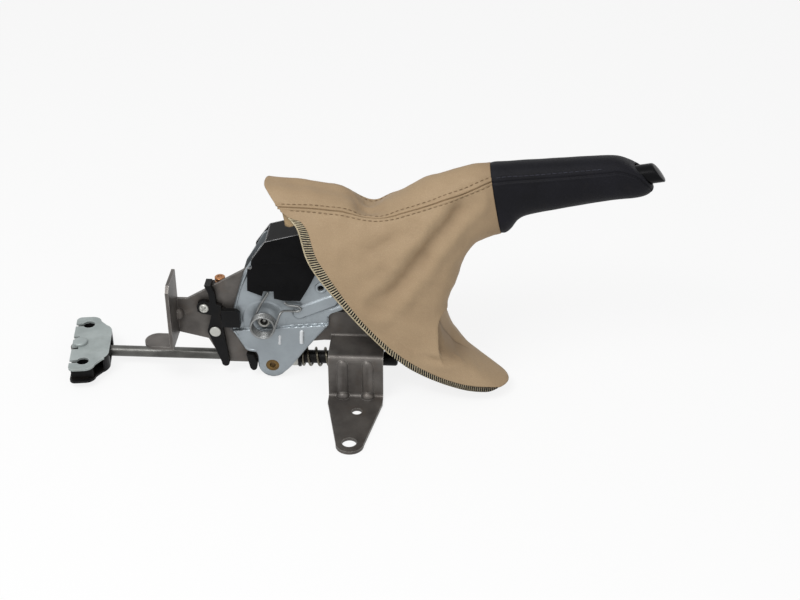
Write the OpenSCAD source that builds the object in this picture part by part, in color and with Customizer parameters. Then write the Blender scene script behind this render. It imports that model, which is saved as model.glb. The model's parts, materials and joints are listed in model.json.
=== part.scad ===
// Parking brake lever with a ratchet base, a pull rod and a cable equalizer
// X runs forward to the grip, Z is up, and the lever lies in the plane Y = 0.
// The origin is midway between the two front bolt holes, on the underside of the feet.

/* [Mounting feet] */
// Distance between the two front bolt holes, across the part
bolt_spacing = 222; // [200:1:240]
// Bolt hole in each front foot
bolt_hole_d = 12.5; // [9:0.5:14]
// Small locating hole in each front foot
locator_hole_d = 9; // [6:0.5:10]
// Width of a foot along X
foot_w = 48; // [40:1:52]
// Height of the lever pivot above the underside of the feet
pivot_h = 60; // [58:1:70]
// Distance of the lever pivot behind the bolt holes
pivot_back = 82; // [80:1:88]
// How far below the pivot the shelf of a foot lies
shelf_drop = 16; // [14:0.5:20]
// Reach of the shelf from the middle plane to its outer face
shelf_reach = 44; // [38:1:48]

/* [Base] */
// Sheet thickness of the base sides
base_t = 3; // [2:0.25:3.5]
// Clear width between the two base sides
base_gap = 14; // [12:0.5:16]
// Distance from the pivot to the rear flange
rear_len = 77; // [74:1:90]
// Number of teeth on the ratchet sector
tooth_count = 12; // [9:1:14]

/* [Lever] */
// Sheet thickness of the lever cheeks
cheek_t = 2.5; // [1.5:0.25:3]
// Side clearance between a base side and a lever cheek
side_gap = 0.5; // [0.3:0.1:0.8]
// Outward step of the lower lobe
lobe_step = 3; // [2.5:0.25:4]
// Diameter of the pivot pin
pivot_d = 10; // [8:0.5:11]
// Drop of the pull rod axis below the pivot
rod_drop = 46.5; // [46:0.5:48]
// Diameter of the trunnion journals
journal_d = 11.8; // [10:0.2:13]
// Running clearance on a radius
run_gap = 0.05; // [0.02:0.01:0.08]

/* [Handle] */
// Length of the grip from its collar to its end
grip_len = 131; // [120:1:140]
// Height of the grip in the middle of its length
grip_h = 43; // [38:0.5:46]
// Width of the grip in the middle of its length
grip_w = 32; // [30:0.5:36]
// Upward slope of the grip in degrees
grip_rise = 10.4; // [9:0.2:12]
// Diameter of the release button
button_d = 17; // [14:0.2:17.2]
// Travel of the release button
button_travel = 6; // [4:0.5:7]
// Diameter of the lever tube in the grip
tube_d = 21; // [20:0.1:21]

/* [Pull rod] */
// Diameter of the plain pull rod
rod_d = 10; // [8:0.5:10.5]
// Diameter of the threaded end
thread_d = 8; // [6:0.5:8]
// Outside diameter of the tension spring
spring_d = 18; // [17:0.5:20]
// Wire of the tension spring
spring_wire = 2.2; // [1.8:0.1:2.4]
// Distance from the trunnion back to the equalizer pin
rod_len = 177.5; // [165:0.5:190]

/* [Equalizer] */
// Distance between the two cable end sockets
cable_spacing = 60; // [56:1:64]
// Diameter of a cable end socket
socket_d = 11; // [9:0.5:12]
// Width of the cable slot that leads out of a socket
slot_w = 4.5; // [3:0.25:5]
// Length of the equalizer across the part
eq_len = 86; // [82:1:92]
// Depth of the equalizer along X
eq_depth = 34; // [32:0.5:38]
// Height of the equalizer channel
eq_h = 15; // [14:0.5:18]
// Turn of the equalizer about its pin as it lies, in degrees
eq_yaw = 8; // [0:1:12]

/* [Boot] */
// Thickness of the boot leather
boot_t = 1.6; // [1.2:0.1:2]
// Width of the boot as a share of its normal width
boot_spread = 1; // [0.95:0.01:1.1]

/* [Hidden] */
$fn = 48;

in_y = base_gap / 2;
out_y = in_y + base_t;
cheek_in = out_y + side_gap;
cheek_out = cheek_in + cheek_t;
lobe_in = cheek_in + lobe_step;
lobe_out = cheek_out + lobe_step;
floor_z = -pivot_h;
shelf_z = -shelf_drop;
foot_x = pivot_back + 0.5;
foot_l = foot_x - foot_w / 2;
foot_r = foot_x + foot_w / 2;
bolt_y = bolt_spacing / 2;
tip_r = 12;
tip_over = 1;
fold_r = 2.5;
rib_r = 6;
rib_proud = 3;
wall_low = -21.5;
flange_reach = 40;
flange_top = 46;
rod_x = 5.5;
pawl_x = 51;
pawl_z = 34.4;
pawl_t = 5;
sector_r = 38;
tooth_h = 3;
tooth_step = 3.4;
nose_angle = 15;
// The pawl rides just clear of the tooth tips
nose_lift = tooth_h + 0.4;
cover_gap = 0.3;
cover_t = 3.2;
cover_in = cheek_out + cover_gap;
cover_out = cover_in + cover_t;
grip_x = 199;
grip_z = 124.7;
bend_x = 190;
bend_z = grip_z - (grip_x - bend_x) * tan(grip_rise);
tube_low_x = 100;
tube_slope = 27.8;
tube_wall = 2;
button_gap = 0.3;
button_low = 2.4;
coil_r = 10.7;
button_coil_r = 5.3;
pin_head_r = 6.3;
coil_wire = 2.6;
eq_t = 2;
eq_pin_r = 4;
eye_t = 9;

// Drawing helpers, in the frame of the pivot
module at_pivot() { translate([-pivot_back, 0, pivot_h]) children(); }
module slab(points, y0, y1) {
    translate([0, y1, 0]) rotate([90, 0, 0]) linear_extrude(y1 - y0) polygon(points);
}
module across(x, z, r, y0, y1) {
    translate([x, y1, z]) rotate([90, 0, 0]) cylinder(r = r, h = y1 - y0);
}
module along_x(z, r, x0, x1) {
    translate([x0, 0, z]) rotate([0, 90, 0]) cylinder(r = r, h = x1 - x0);
}
module on_grip_axis() {
    translate([grip_x, 0, grip_z]) rotate([0, 90 - grip_rise, 0]) children();
}
module on_rod() { translate([rod_x, 0, -rod_drop]) children(); }
module on_equalizer() {
    translate([rod_x - rod_len, 0, -rod_drop]) rotate([0, 0, eq_yaw]) children();
}

// Smooth curve and sweep functions
function curve(a, b, c, d, t) = 0.5 * (2 * b + (c - a) * t + (2 * a - 5 * b + 4 * c - d) * t * t
    + (3 * b - a - 3 * c + d) * t * t * t);
function unit(v) = v / norm(v);
function tangent(p, i) = unit(p[min(i + 1, len(p) - 1)] - p[max(i - 1, 0)]);
function wire_points(p, r, ref, sides) = [for (i = [0 : len(p) - 1])
    let (t = tangent(p, i), a = unit(cross(t, ref)), b = cross(t, a))
    for (j = [0 : sides - 1]) p[i] + r * (cos(360 * j / sides) * a + sin(360 * j / sides) * b)];
function wire_faces(n, sides) = concat(
    [[for (j = [0 : sides - 1]) j]],
    [for (i = [0 : n - 2]) for (j = [0 : sides - 1])
        [i * sides + j, (i + 1) * sides + j, (i + 1) * sides + (j + 1) % sides]],
    [for (i = [0 : n - 2]) for (j = [0 : sides - 1])
        [i * sides + j, (i + 1) * sides + (j + 1) % sides, i * sides + (j + 1) % sides]],
    [[for (j = [sides - 1 : -1 : 0]) (n - 1) * sides + j]]);
module wire(p, r, ref, sides = 8) {
    polyhedron(points = wire_points(p, r, ref, sides), faces = wire_faces(len(p), sides));
}
function grid_faces(m, n) = concat(
    [for (i = [0 : n - 2]) for (j = [0 : m - 1]) [i * m + j, i * m + (j + 1) % m, (i + 1) * m + j]],
    [for (i = [0 : n - 2]) for (j = [0 : m - 1])
        [i * m + (j + 1) % m, (i + 1) * m + (j + 1) % m, (i + 1) * m + j]]);

// Outlines of the base side, in X and Z from the pivot
wall_outline = [[-rear_len, 17.5], [-68, 17.5], [-14, 50], [8, 50.5], [38, 31], [60, 9], [foot_r - 10, 5],
    [foot_r, -5], [foot_r, shelf_z], [foot_l, shelf_z], [foot_l, wall_low], [52, wall_low],
    [30, -24.5], [23, -28.5], [12.5, -33.5], [0, -36], [-7.5, -36.5], [-7.5, -47.5], [-39.5, -47.5], [-46, -35], [-51.5, -23.2],
    [-rear_len, -17]];
far_outline = [[-60, 6], [-14, 43], [8, 42], [38, 31], [60, 9], [foot_r - 10, 5], [foot_r, -5], [foot_r, shelf_z],
    [foot_l, shelf_z], [52, shelf_z], [30, -20.5], [23, -27.5], [12.5, -33.5], [0, -36], [-30, -36.5],
    [-51.5, -23.2], [-60, -17]];
bend_r = 6;
function arc(cx, cy, r, a0, a1, n) = [for (i = [0 : n]) let (a = a0 + (a1 - a0) * i / n)
    [cx + r * cos(a), cy + r * sin(a)]];
// The folded strip of a foot, in Y away from the middle and Z
strip_outline = concat(
    [[in_y, shelf_z], [in_y, shelf_z - base_t]],
    arc(shelf_reach - bend_r, shelf_z - bend_r, bend_r - base_t, 90, 0, 4),
    [[shelf_reach - base_t, floor_z + bend_r]],
    arc(shelf_reach - base_t + bend_r, floor_z + bend_r, bend_r, 180, 270, 4),
    [[55, floor_z], [55, floor_z + base_t]],
    arc(shelf_reach - base_t + bend_r, floor_z + bend_r, bend_r - base_t, 270, 180, 4),
    arc(shelf_reach - bend_r, shelf_z - bend_r, bend_r, 0, 90, 5),
    arc(out_y + fold_r, shelf_z + fold_r, fold_r, 270, 180, 4));
function mirrored(points) = [for (p = points) [-p[0], p[1]]];

module foot_strip() {
    translate([foot_l, 0, 0]) rotate([90, 0, 90]) linear_extrude(foot_w) polygon(mirrored(strip_outline));
    for (x = [foot_x - 11.5, foot_x + 10.5]) translate([x, -shelf_reach, floor_z + base_t]) foot_rib();
}
// A stiffening rib pressed into the drop, with a nose over the lower bend
module foot_rib() {
    rise = shelf_z - floor_z - base_t - rib_r - rib_proud;
    intersection() {
        union() {
            translate([0, rib_r - rib_proud, 0]) cylinder(r = rib_r, h = rise);
            translate([0, rib_r - rib_proud, rise]) sphere(r = rib_r);
            translate([0, -1, 0]) sphere(r = rib_r);
        }
        translate([-2 * rib_r, -2 * rib_r, 0]) cube([4 * rib_r, 2 * rib_r + base_t / 2, rise + rib_r]);
    }
}
module foot_plate() {
    edge = 54;
    difference() {
        union() {
            translate([0, 0, floor_z]) linear_extrude(base_t)
                polygon([[foot_l, -edge], [foot_x - tip_r, -bolt_y - tip_over], [foot_x + tip_r, -bolt_y - tip_over],
                    [foot_r, -edge]]);
            translate([foot_x, -bolt_y - tip_over, floor_z]) cylinder(r = tip_r, h = base_t);
        }
        translate([pivot_back, -bolt_y, floor_z - 1]) cylinder(d = bolt_hole_d, h = base_t + 2);
        translate([pivot_back + 3, -bolt_y + 44, floor_z - 1]) cylinder(d = locator_hole_d, h = base_t + 2);
    }
}
module rear_flange() {
    outline = [[-in_y, -17], [-flange_reach, -17], [-flange_reach, flange_top - 5],
        [-flange_reach + 5, flange_top], [-in_y, flange_top]];
    translate([-rear_len - base_t, 0, 0]) rotate([90, 0, 90]) linear_extrude(base_t) polygon(outline);
    // rearward tongue with a rounded end
    translate([-rear_len - 16, -flange_reach, -17]) cube([16, 22, base_t]);
    translate([-rear_len - 16, -flange_reach + 11, -17]) cylinder(r = 11, h = base_t);
    // pressed gusset across the bend
    translate([-rear_len, -out_y, 3]) intersection() {
        sphere(r = 6);
        translate([0, -7, -7]) cube([7, 7, 14]);
    }
}
module base_side(outline, flanged) {
    difference() {
        union() {
            slab(outline, -out_y, -in_y);
            foot_strip();
            foot_plate();
            if (flanged) rear_flange();
        }
        across(0, 0, pivot_d / 2, -out_y - 1, -in_y + 1);
        across(-22, -20, 4, -out_y - 1, -in_y + 1);
    }
}
module base_side_near() {
    color([0.34, 0.32, 0.31]) at_pivot() difference() {
        base_side(wall_outline, true);
        across(-52.5, 11.8, 2.5, -out_y - 1, -in_y + 1);
        across(-44, -12.4, 2.5, -out_y - 1, -in_y + 1);
    }
}
module base_side_far() {
    color([0.34, 0.32, 0.31]) at_pivot() mirror([0, 1, 0]) base_side(far_outline, false);
}
module base_spacer_rear() {
    color([0.4, 0.4, 0.4]) at_pivot() across(-54, -6, 5, -in_y, in_y);
}
module base_spacer_front() {
    color([0.4, 0.4, 0.4]) at_pivot() across(foot_r - 8, -6, 5, -in_y, in_y);
}
module ratchet_sector() {
    first = nose_angle - tooth_step;
    last = first + tooth_step * tooth_count;
    color([0.45, 0.45, 0.47]) at_pivot() difference() {
        union() {
            slab(concat([[0, 0]], arc(0, 0, sector_r, first - 4, last + 4, 14)), -pawl_t / 2, pawl_t / 2);
            across(0, 0, 16, -pawl_t / 2, pawl_t / 2);
            slab([[-12, 11], [-31, -18], [-24, -29], [11, -13]], -pawl_t / 2, pawl_t / 2);
            for (i = [0 : tooth_count - 1]) {
                a = first + tooth_step * i;
                slab([[(sector_r - 1) * cos(a), (sector_r - 1) * sin(a)],
                    [(sector_r + tooth_h) * cos(a + 0.4), (sector_r + tooth_h) * sin(a + 0.4)],
                    [(sector_r + tooth_h) * cos(a + 1), (sector_r + tooth_h) * sin(a + 1)],
                    [(sector_r - 1) * cos(a + 2.5), (sector_r - 1) * sin(a + 2.5)]], -pawl_t / 2, pawl_t / 2);
            }
        }
        across(0, 0, pivot_d / 2, -pawl_t, pawl_t);
        across(-22, -20, 4, -pawl_t, pawl_t);
    }
}
module sector_rivet() {
    color([0.55, 0.55, 0.56]) at_pivot() {
        across(-22, -20, 4, -out_y, out_y);
        across(-22, -20, 6, -in_y, -pawl_t / 2);
        across(-22, -20, 6, pawl_t / 2, in_y);
    }
}
module pivot_pin() {
    head = cheek_out + cover_gap;
    color([0.6, 0.6, 0.6]) at_pivot() difference() {
        union() {
            across(0, 0, pivot_d / 2, -head, head);
            across(0, 0, pin_head_r, -head - 1.4, -head);
            across(0, 0, pin_head_r, head, head + 1.6);
            across(0, 0, 5.4, -head - 4, -head - 1.4);
        }
        across(0, 0, 3.4, -head - 5, -head - 1);
    }
}
module rest_bumper() {
    color([0.05, 0.05, 0.05]) at_pivot()
        slab([[-18, -35.5], [-11, -37], [-8, -45], [-9, -51], [-10.6, -53], [-13, -53], [-15, -50.5]],
            -lobe_out, -out_y);
}
carrier_y = out_y + 5;
tab_y = in_y - 0.3;
module switch_carrier() {
    color([0.06, 0.06, 0.06]) at_pivot() difference() {
        union() {
            // lug under the screw and the arm to the switch
            across(-52.5, 11.8, 6.5, -carrier_y, -out_y);
            slab([[-59, 8], [-52, 5.3], [-45, 4], [-37.4, 6], [-37.4, 14], [-46, 17], [-55, 17.8]], -carrier_y, -out_y);
            // curved arm that hooks over the top edge
            slab([[-47, 16], [-41.5, 15], [-42.5, 27], [-45.5, 34.5], [-51, 34.5], [-48, 27]], -carrier_y, -out_y);
            slab([[-51, 28.2], [-45.5, 31.5], [-45.5, 34.5], [-51, 34.5]], -out_y - 1, -tab_y + 4);
            slab([[-51, 28], [-45.5, 28], [-45.5, 33.5], [-51, 33.5]], -tab_y, -tab_y + 4);
            slab([[-51, 28], [-34, 28], [-34, 30.5], [-51, 30.5]], -tab_y, -tab_y + 9);
            // guide arm in front of the rod, with a rounded end
            across(-44, -12.4, 7, -carrier_y, -out_y);
            slab([[-51, -12.4], [-46, 6], [-38.5, 6], [-37, -12.4], [-33.8, -44], [-40.2, -46]], -carrier_y, -out_y);
            across(-37, -46, 3.4, -carrier_y, -out_y);
        }
        across(-52.5, 11.8, 2.2, -carrier_y - 1, -out_y + 1);
        across(-44, -12.4, 2.5, -carrier_y - 1, -out_y + 1);
        translate([-39, -1.6, 20]) cylinder(r = 2, h = 30);
    }
}
plunger_y = lobe_in + 1.9;
module switch_body() {
    front = lobe_out + 3;
    color([0.07, 0.07, 0.07]) at_pivot() difference() {
        union() {
            slab([[-37, -5.6], [-35.2, -5.6], [-35.2, 11.4], [-37, 11.4]], -front, -out_y);
            slab([[-35.3, -5.6], [-21, -5.6], [-21, 8], [-24.5, 11.4], [-35.3, 11.4]], -front, -cheek_out - cover_gap);
        }
        translate([-29.5, -plunger_y, -7]) cylinder(r = 1.5 + run_gap, h = 12);
    }
}
module switch_plunger() {
    color([0.75, 0.75, 0.72]) at_pivot()
        translate([-29.5, -plunger_y, -9.9]) cylinder(r = 1.5, h = 10);
}
module switch_screw() {
    color([0.78, 0.78, 0.76]) at_pivot() translate([-52.5, -carrier_y, 11.8]) rotate([90, 0, 0]) difference() {
        union() {
            cylinder(r = 4.2, h = 1.6);
            translate([0, 0, 1.6]) cylinder(r1 = 4.2, r2 = 2.6, h = 1.1);
            translate([0, 0, -carrier_y + in_y]) cylinder(r = 2.2, h = carrier_y - in_y);
        }
        translate([-2.4, -0.5, 1.2]) cube([4.8, 1, 3]);
        translate([-0.5, -2.4, 1.2]) cube([1, 4.8, 3]);
    }
}
module carrier_rivet() {
    color([0.8, 0.79, 0.75]) at_pivot() {
        across(-44, -12.4, 2.5, -carrier_y, -in_y);
        across(-44, -12.4, 4.9, -carrier_y - 1.5, -carrier_y);
    }
}
module switch_terminal() {
    color([0.72, 0.5, 0.24]) at_pivot() translate([-39, -1.6, 30.5]) {
        cylinder(r = 4.6, h = 2.2);
        translate([0, 0, 2.2]) cylinder(r = 3.8, h = 1.4);
        translate([0, 0, 3.6]) cylinder(r = 4.6, h = 2.4);
        translate([0, 0, -4]) cylinder(r = 2, h = 4);
    }
}

// The lever cheek: upper plate, slanted step, lower lobe, pressed rib and beads
step_l = [-30, -11];
step_r = [57, -2];
upper_outline = [[-30, -11], [-33.2, -5], [-29, 8.2], [-16.4, 47], [-13.5, 51.5], [0, 74], [4, 77], [60, 91], [100, 100],
    [130, 113], [134, 96], [118, 74], [98, 46], [78, 22], [70, 13.5], [57, 8.5], [57, -2]];
lobe_outline = [[-30.4, -14.1], [-26.7, -18], [-17.7, -30.6], [-15, -32.4], [-8.8, -33.2], [-7.6, -36], [-7, -47],
    [rod_x, -rod_drop], [rod_x + 8.5, -rod_drop - 6.5], [21.5, -49], [41.7, -21.3], [55.3, -5.2]];
module lobe_step_band() {
    l = norm(step_r - step_l);
    a = atan2(step_r[1] - step_l[1], step_r[0] - step_l[0]);
    translate([step_l[0], 0, step_l[1]]) rotate([0, -a, 0]) rotate([90, 0, 90]) linear_extrude(l)
        polygon([[-cheek_in, 1.2], [-cheek_out, 1.2], [-lobe_out, -2.2], [-lobe_out, -4], [-lobe_in, -4],
            [-lobe_in, -3.2], [-cheek_in, 0.6]]);
}
rib_h = 1.4;
rib_outline = concat(arc(31, 8.3, 5.5, 114, 294, 8), arc(60.2, 21.3, 5.5, -66, 114, 8));
module lever_cheek() {
    difference() {
        union() {
            slab(upper_outline, -cheek_out, -cheek_in);
            lobe_step_band();
            slab(lobe_outline, -lobe_out, -lobe_in);
            across(rod_x, -rod_drop, 13, -lobe_out, -lobe_in);
            slab(rib_outline, -cheek_out - rib_h, -cheek_out);
            // two pressed beads across the step
            for (p = [[13, -13], [32.7, -11]])
                slab([[p[0] - 0.9, p[1] - 10], [p[0] + 0.9, p[1] - 10], [p[0] + 0.9, p[1]], [p[0] - 0.9, p[1]]],
                    -lobe_out - 0.8, -lobe_out);
            // stiffening flange along the lower edge of the arm
            slab([[57, 8.5], [70, 13.5], [78, 22], [98, 46], [95, 48.4], [75.4, 25], [68, 17], [56, 12.4]],
                -lobe_out + 1.4, -cheek_out);
        }
        across(0, 0, pivot_d / 2 + run_gap, -lobe_out - 1, -cheek_in + 1);
        across(rod_x, -rod_drop, journal_d / 2 + run_gap, -lobe_out - 1, -lobe_in + 1);
        across(pawl_x, pawl_z, 4, -lobe_out - 1, -cheek_in + 1);
    }
}
module lever_cheek_near() { color([0.6, 0.63, 0.66]) at_pivot() lever_cheek(); }
module lever_cheek_far() { color([0.6, 0.63, 0.66]) at_pivot() mirror([0, 1, 0]) lever_cheek(); }
module lever_bridge() {
    color([0.6, 0.63, 0.66]) at_pivot()
        slab([[60, 88.4], [60, 91], [100, 100], [130, 113], [130.4, 110.4], [100.6, 97.5]], -cheek_in, cheek_in);
}
module tube_runs(r, ext) {
    translate([bend_x, 0, bend_z]) {
        sphere(r = r + 0.1);
        rotate([0, 90 - grip_rise, 0]) cylinder(r = r, h = grip_len - 28 + ext);
        rotate([0, -90 - tube_slope, 0]) cylinder(r = r, h = (bend_x - tube_low_x) / cos(tube_slope) + ext);
    }
}
module lever_tube() {
    color([0.3, 0.31, 0.32]) at_pivot() difference() {
        tube_runs(tube_d / 2, 0);
        tube_runs(tube_d / 2 - tube_wall, 2);
    }
}
cover_outline = [[5, 81], [-7.8, 63], [-8.4, 58], [-11.9, 53], [-13.1, 31.7], [-0.3, 26.4], [18, 22.4], [32.8, 22.4],
    [41, 37], [53.2, 63], [64, 97.6]];
module mechanism_cover() {
    color([0.05, 0.05, 0.05]) at_pivot() difference() {
        union() {
            slab(cover_outline, -cover_out, -cover_in);
            slab(cover_outline, cover_in, cover_out);
            slab([[5, 81], [64, 97.6], [63.2, 94.6], [4, 78.2]], -cover_out, cover_out);
            // raised upper panel on the outer faces
            slab([[5, 81], [-7.8, 63], [-6, 60], [50, 62], [53.2, 63], [64, 97.6]], -cover_out - 0.8, -cover_out);
        }
        slab([[-2, 20], [10, 20], [10, 31.5], [1, 31.5]], -cover_out - 2, -cover_in + 1);
        across(-9.5, 55.8, 2.2, -cover_out - 2, -cover_in + 1);
    }
}
module pawl_rivet() {
    color([0.62, 0.64, 0.66]) at_pivot() difference() {
        union() {
            across(pawl_x, pawl_z, 4, -cheek_out, cheek_out);
            across(pawl_x, pawl_z, 5.2, -cheek_out - 1.2, -cheek_out);
            across(pawl_x, pawl_z, 5.2, cheek_out, cheek_out + 1.2);
        }
        across(pawl_x, pawl_z, 2.4, -cheek_out - 2, cheek_out + 2);
    }
}
coil_turns = 3.55;
coil_pitch = 2.75;
coil_y = -lobe_out - coil_wire / 2 - 0.4;
coil_path = [for (i = [0 : 84]) let (a = 150 + i * 360 * coil_turns / 84)
    [coil_r * cos(a), coil_y - i / 84 * coil_turns * coil_pitch, coil_r * sin(a)]];
leg_y = coil_y - coil_turns * coil_pitch;
leg_in = [[4.5, -cheek_out - 1.8, 28.6], [-2.6, coil_y + 0.8, 16.6]];
hair_y = -cheek_out - rib_h - coil_wire / 2 - 0.4;
leg_out = [[13.2, leg_y + 1, 7], [15.4, leg_y + 3.5, 12.6], [17.8, leg_y + 6, 14.6], [22, leg_y + 8.6, 13.6],
    [27, hair_y - 0.6, 12], [30.4, hair_y - 0.2, 11.8], [32.6, hair_y, 13], [32.8, hair_y, 15], [31, hair_y, 16.6],
    [28, hair_y, 17], [22.5, hair_y, 17.6], [19.4, hair_y, 19.6]];
module pawl_spring() {
    color([0.35, 0.35, 0.36]) at_pivot() {
        wire(concat(leg_in, coil_path, leg_out), coil_wire / 2, [0, 1, 0.02]);
    }
}
module pawl() {
    a = nose_angle;
    r = sector_r + nose_lift;
    color([0.42, 0.42, 0.44]) at_pivot() difference() {
        union() {
            across(pawl_x, pawl_z, 7.5, -pawl_t / 2, pawl_t / 2);
            across(pawl_x + 5, pawl_z + 20, 4, -pawl_t / 2, pawl_t / 2);
            slab([[pawl_x - 7, pawl_z], [pawl_x + 1, pawl_z + 20], [pawl_x + 9, pawl_z + 20], [pawl_x + 7.2, pawl_z]],
                -pawl_t / 2, pawl_t / 2);
            slab([[pawl_x - 7.4, pawl_z], [(r + 5.6) * cos(a + 9), (r + 5.6) * sin(a + 9)],
                [(r + 3.1) * cos(a + 2.6), (r + 3.1) * sin(a + 2.6)], [r * cos(a + 0.2), r * sin(a + 0.2)],
                [r * cos(a - 0.4), r * sin(a - 0.4)], [(r + 8.6) * cos(a - 0.5), (r + 8.6) * sin(a - 0.5)],
                [pawl_x + 6, pawl_z - 4]], -pawl_t / 2, pawl_t / 2);
        }
        across(pawl_x, pawl_z, 4 + run_gap, -pawl_t, pawl_t);
    }
}

// Grip sections: distance along the axis at the top and at the bottom, rise, depth and half width
grip_table = [[0, 0, 23, 37, 17], [4, 4, 23.4, 37, 17.2], [9, 9, 23, 33.5, 16.8], [16, 16, 22.3, 26, 16.2],
    [25, 25, 21.9, 22.8, 16], [41, 41, 21.6, 21.6, 16], [72, 72, 20.2, 20.2, 15.5], [92, 92, 18.8, 19.8, 15],
    [101, 104, 17.2, 20.2, 14.6], [106, 112.5, 14.6, 20.6, 14], [109.4, 118.6, 11.8, 20.2, 13.2],
    [112, 123, 9.8, 18.4, 12.2], [113.8, 125.8, 8.4, 15.8, 11.2], [115, 126.8, 7.6, 13.4, 10.4]];
function section(row, m) = [for (j = [0 : m - 1]) let (a = 360 * j / m, c = cos(a), h = c > 0 ? row[2] : row[3])
    [-c * h * grip_h / 43, sin(a) * row[4] * grip_w / 32, (row[0] + (row[1] - row[0]) * (1 - c) / 2) * grip_len / 131]];
grip_sides = 32;
grip_points = [for (row = grip_table) each section(row, grip_sides)];
module grip() {
    n = len(grip_table);
    m = grip_sides;
    color([0.06, 0.06, 0.07]) at_pivot() on_grip_axis() difference() {
        polyhedron(points = grip_points, faces = concat(grid_faces(m, n), [[for (j = [m - 1 : -1 : 0]) j]],
            [for (j = [1 : m - 2]) [(n - 1) * m, (n - 1) * m + j, (n - 1) * m + j + 1]]));
        translate([0, 0, -1]) cylinder(d = tube_d, h = grip_len - 36);
        translate([button_low, 0, grip_len - 38]) cylinder(d = button_d + 2 * button_gap, h = 60);
    }
}
module boot_collar() {
    color([0.1, 0.1, 0.1]) at_pivot() on_grip_axis() difference() {
        translate([0, 0, -9]) linear_extrude(8.2)
            polygon([for (p = section([0, 0, 21.4, 35.4, 15.6], grip_sides)) [p[0], p[1]]]);
        translate([0, 0, -20]) cylinder(d = tube_d, h = 30);
    }
}
module spring_seat_ring() {
    color([0.5, 0.5, 0.5]) at_pivot() on_grip_axis() translate([0, 0, grip_len - 62]) difference() {
        cylinder(d = tube_d - 2 * tube_wall, h = 3);
        translate([0, 0, -1]) cylinder(d = 6, h = 5);
    }
}
button_back = grip_len - 27;
module release_button() {
    color([0.03, 0.03, 0.03]) at_pivot() on_grip_axis() difference() {
        translate([button_low, 0, button_back]) cylinder(d = button_d, h = 40);
        // slanted push face
        translate([button_low, 0, grip_len + 5]) rotate([0, -30, 0]) translate([-30, -30, 0]) cube([60, 60, 40]);
    }
}
module release_rod() {
    low = [pawl_x + 11.6, pawl_z + 20];
    run = (bend_x - low[0]) / cos(tube_slope);
    color([0.55, 0.55, 0.55]) at_pivot() translate([bend_x, 0, bend_z]) {
        sphere(r = 2.8);
        rotate([0, 90 - grip_rise, 0]) cylinder(r = 2.5, h = button_back + (grip_x - bend_x) / cos(grip_rise));
        rotate([0, -90 - tube_slope, 0]) cylinder(r = 2.5, h = run);
    }
}
module button_spring() {
    z0 = grip_len - 58;
    z1 = button_back - 1;
    turns = 8;
    color([0.5, 0.5, 0.5]) at_pivot() on_grip_axis()
        wire([for (i = [0 : 112]) let (a = i * 360 * turns / 112) 
            [button_coil_r * cos(a), button_coil_r * sin(a), z0 + (z1 - z0) * i / 112]],
            0.7, [0, 0.02, 1], 6);
}

// Boot guides: each row runs from the collar to the hem, for one half of the boot
boot_ring = [0, 24, 50, 64, 78, 94, 112, 130, 148, 164, 180];
function collar_point(a) = let (h = cos(a) > 0 ? 24 : 38, n = cos(a) * h)
    [grip_x - 0.6 - n * sin(grip_rise), -18 * sin(a), grip_z - 0.1 + n * cos(grip_rise)];
boot_rows = [
    [[165, 0, 145], [135, 0, 132], [110, 0, 116], [91, 0, 107.5], [66, 0, 122.5], [5, 0, 131]],
    [[168, -11, 142], [137, -12, 130], [111, -11, 115.5], [92, -9, 107], [68, -11, 122], [8, -12, 129.5]],
    [[170, -20, 132], [140, -24, 122], [114, -25, 113], [95, -23, 110], [68, -24, 116.5], [18, -23, 118.5]],
    [[171, -21.5, 126], [142, -28, 116], [117, -31, 107.5], [98, -31, 102], [69, -32, 104], [35, -35, 106]],
    [[172, -22, 119], [145, -30, 109], [119, -34.5, 98], [98, -38, 88], [72, -40.5, 82], [46, -43, 74]],
    [[174, -22, 109], [150, -31, 98], [126, -37, 84], [107, -41, 68], [86, -45, 52], [74, -47, 35]],
    [[176, -21, 100], [155, -30, 88], [135, -37, 70], [120, -43, 48], [110, -46, 25], [107, -49, -2]],
    [[179, -19, 92], [162, -28, 78], [147, -36, 57], [138, -42, 31], [136, -46, 4], [141, -48, -28]],
    [[182, -15, 86], [169, -24, 72], [159, -31, 51], [151, -38, 23], [157, -44, -9], [180, -47, -43]],
    [[186, -8, 82], [175, -14, 71], [167, -21, 52], [160, -26, 26], [174, -32, -13], [210, -36, -48]],
    [[187, 0, 81.5], [177, 0, 72], [170, 0, 53], [161, 0, 28], [173, -2, -13], [214, -9, -49.5]]];
// The far half has slumped: how much lower and further back it lies at each station of a guide
far_sag = [[0, 0, 0, 0, 0, 0], [0, 0, 1, 2, 0, 0], [0, 1, 4, 8, 4, 2], [0, 1, 5, 8, 5, 4], [0, 1, 4, 6, 5, 4],
    [0, 0, 2, 3, 3, 3], [0, 0, 0, 0, 0, 0], [0, 0, 0, 0, 0, 0], [0, 0, 0, 0, 0, 0], [0, 0, 0, 0, 0, 0]];
far_back = [[0, 0, 0, 0, 0, 0], [0, 0, 0, 0, 0, 0], [0, 0, 0, 0, 0, 0], [0, 0, 0, 0, 0, 0], [0, 0, 0, 0, 0, 0],
    [0, 0, 0, 0, 0, 0], [0, 0, 0, 0, 0, 0], [0, 0, 0, 0, 3, 6], [0, 0, 1, 2, 8, 18], [0, 0, 1, 3, 13, 35]];
function near_guide(k) = concat([collar_point(boot_ring[k])], boot_rows[k]);
function far_guide(k) = concat([collar_point(-boot_ring[k])], [for (i = [0 : 5])
    [boot_rows[k][i][0] - far_back[k][i], -boot_rows[k][i][1], boot_rows[k][i][2] - far_sag[k][i]]]);
boot_guides = [for (k = [0 : 19]) [for (p = k <= 10 ? near_guide(k) : far_guide(20 - k))
    [p[0], p[1] * boot_spread, p[2]]]];
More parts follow.
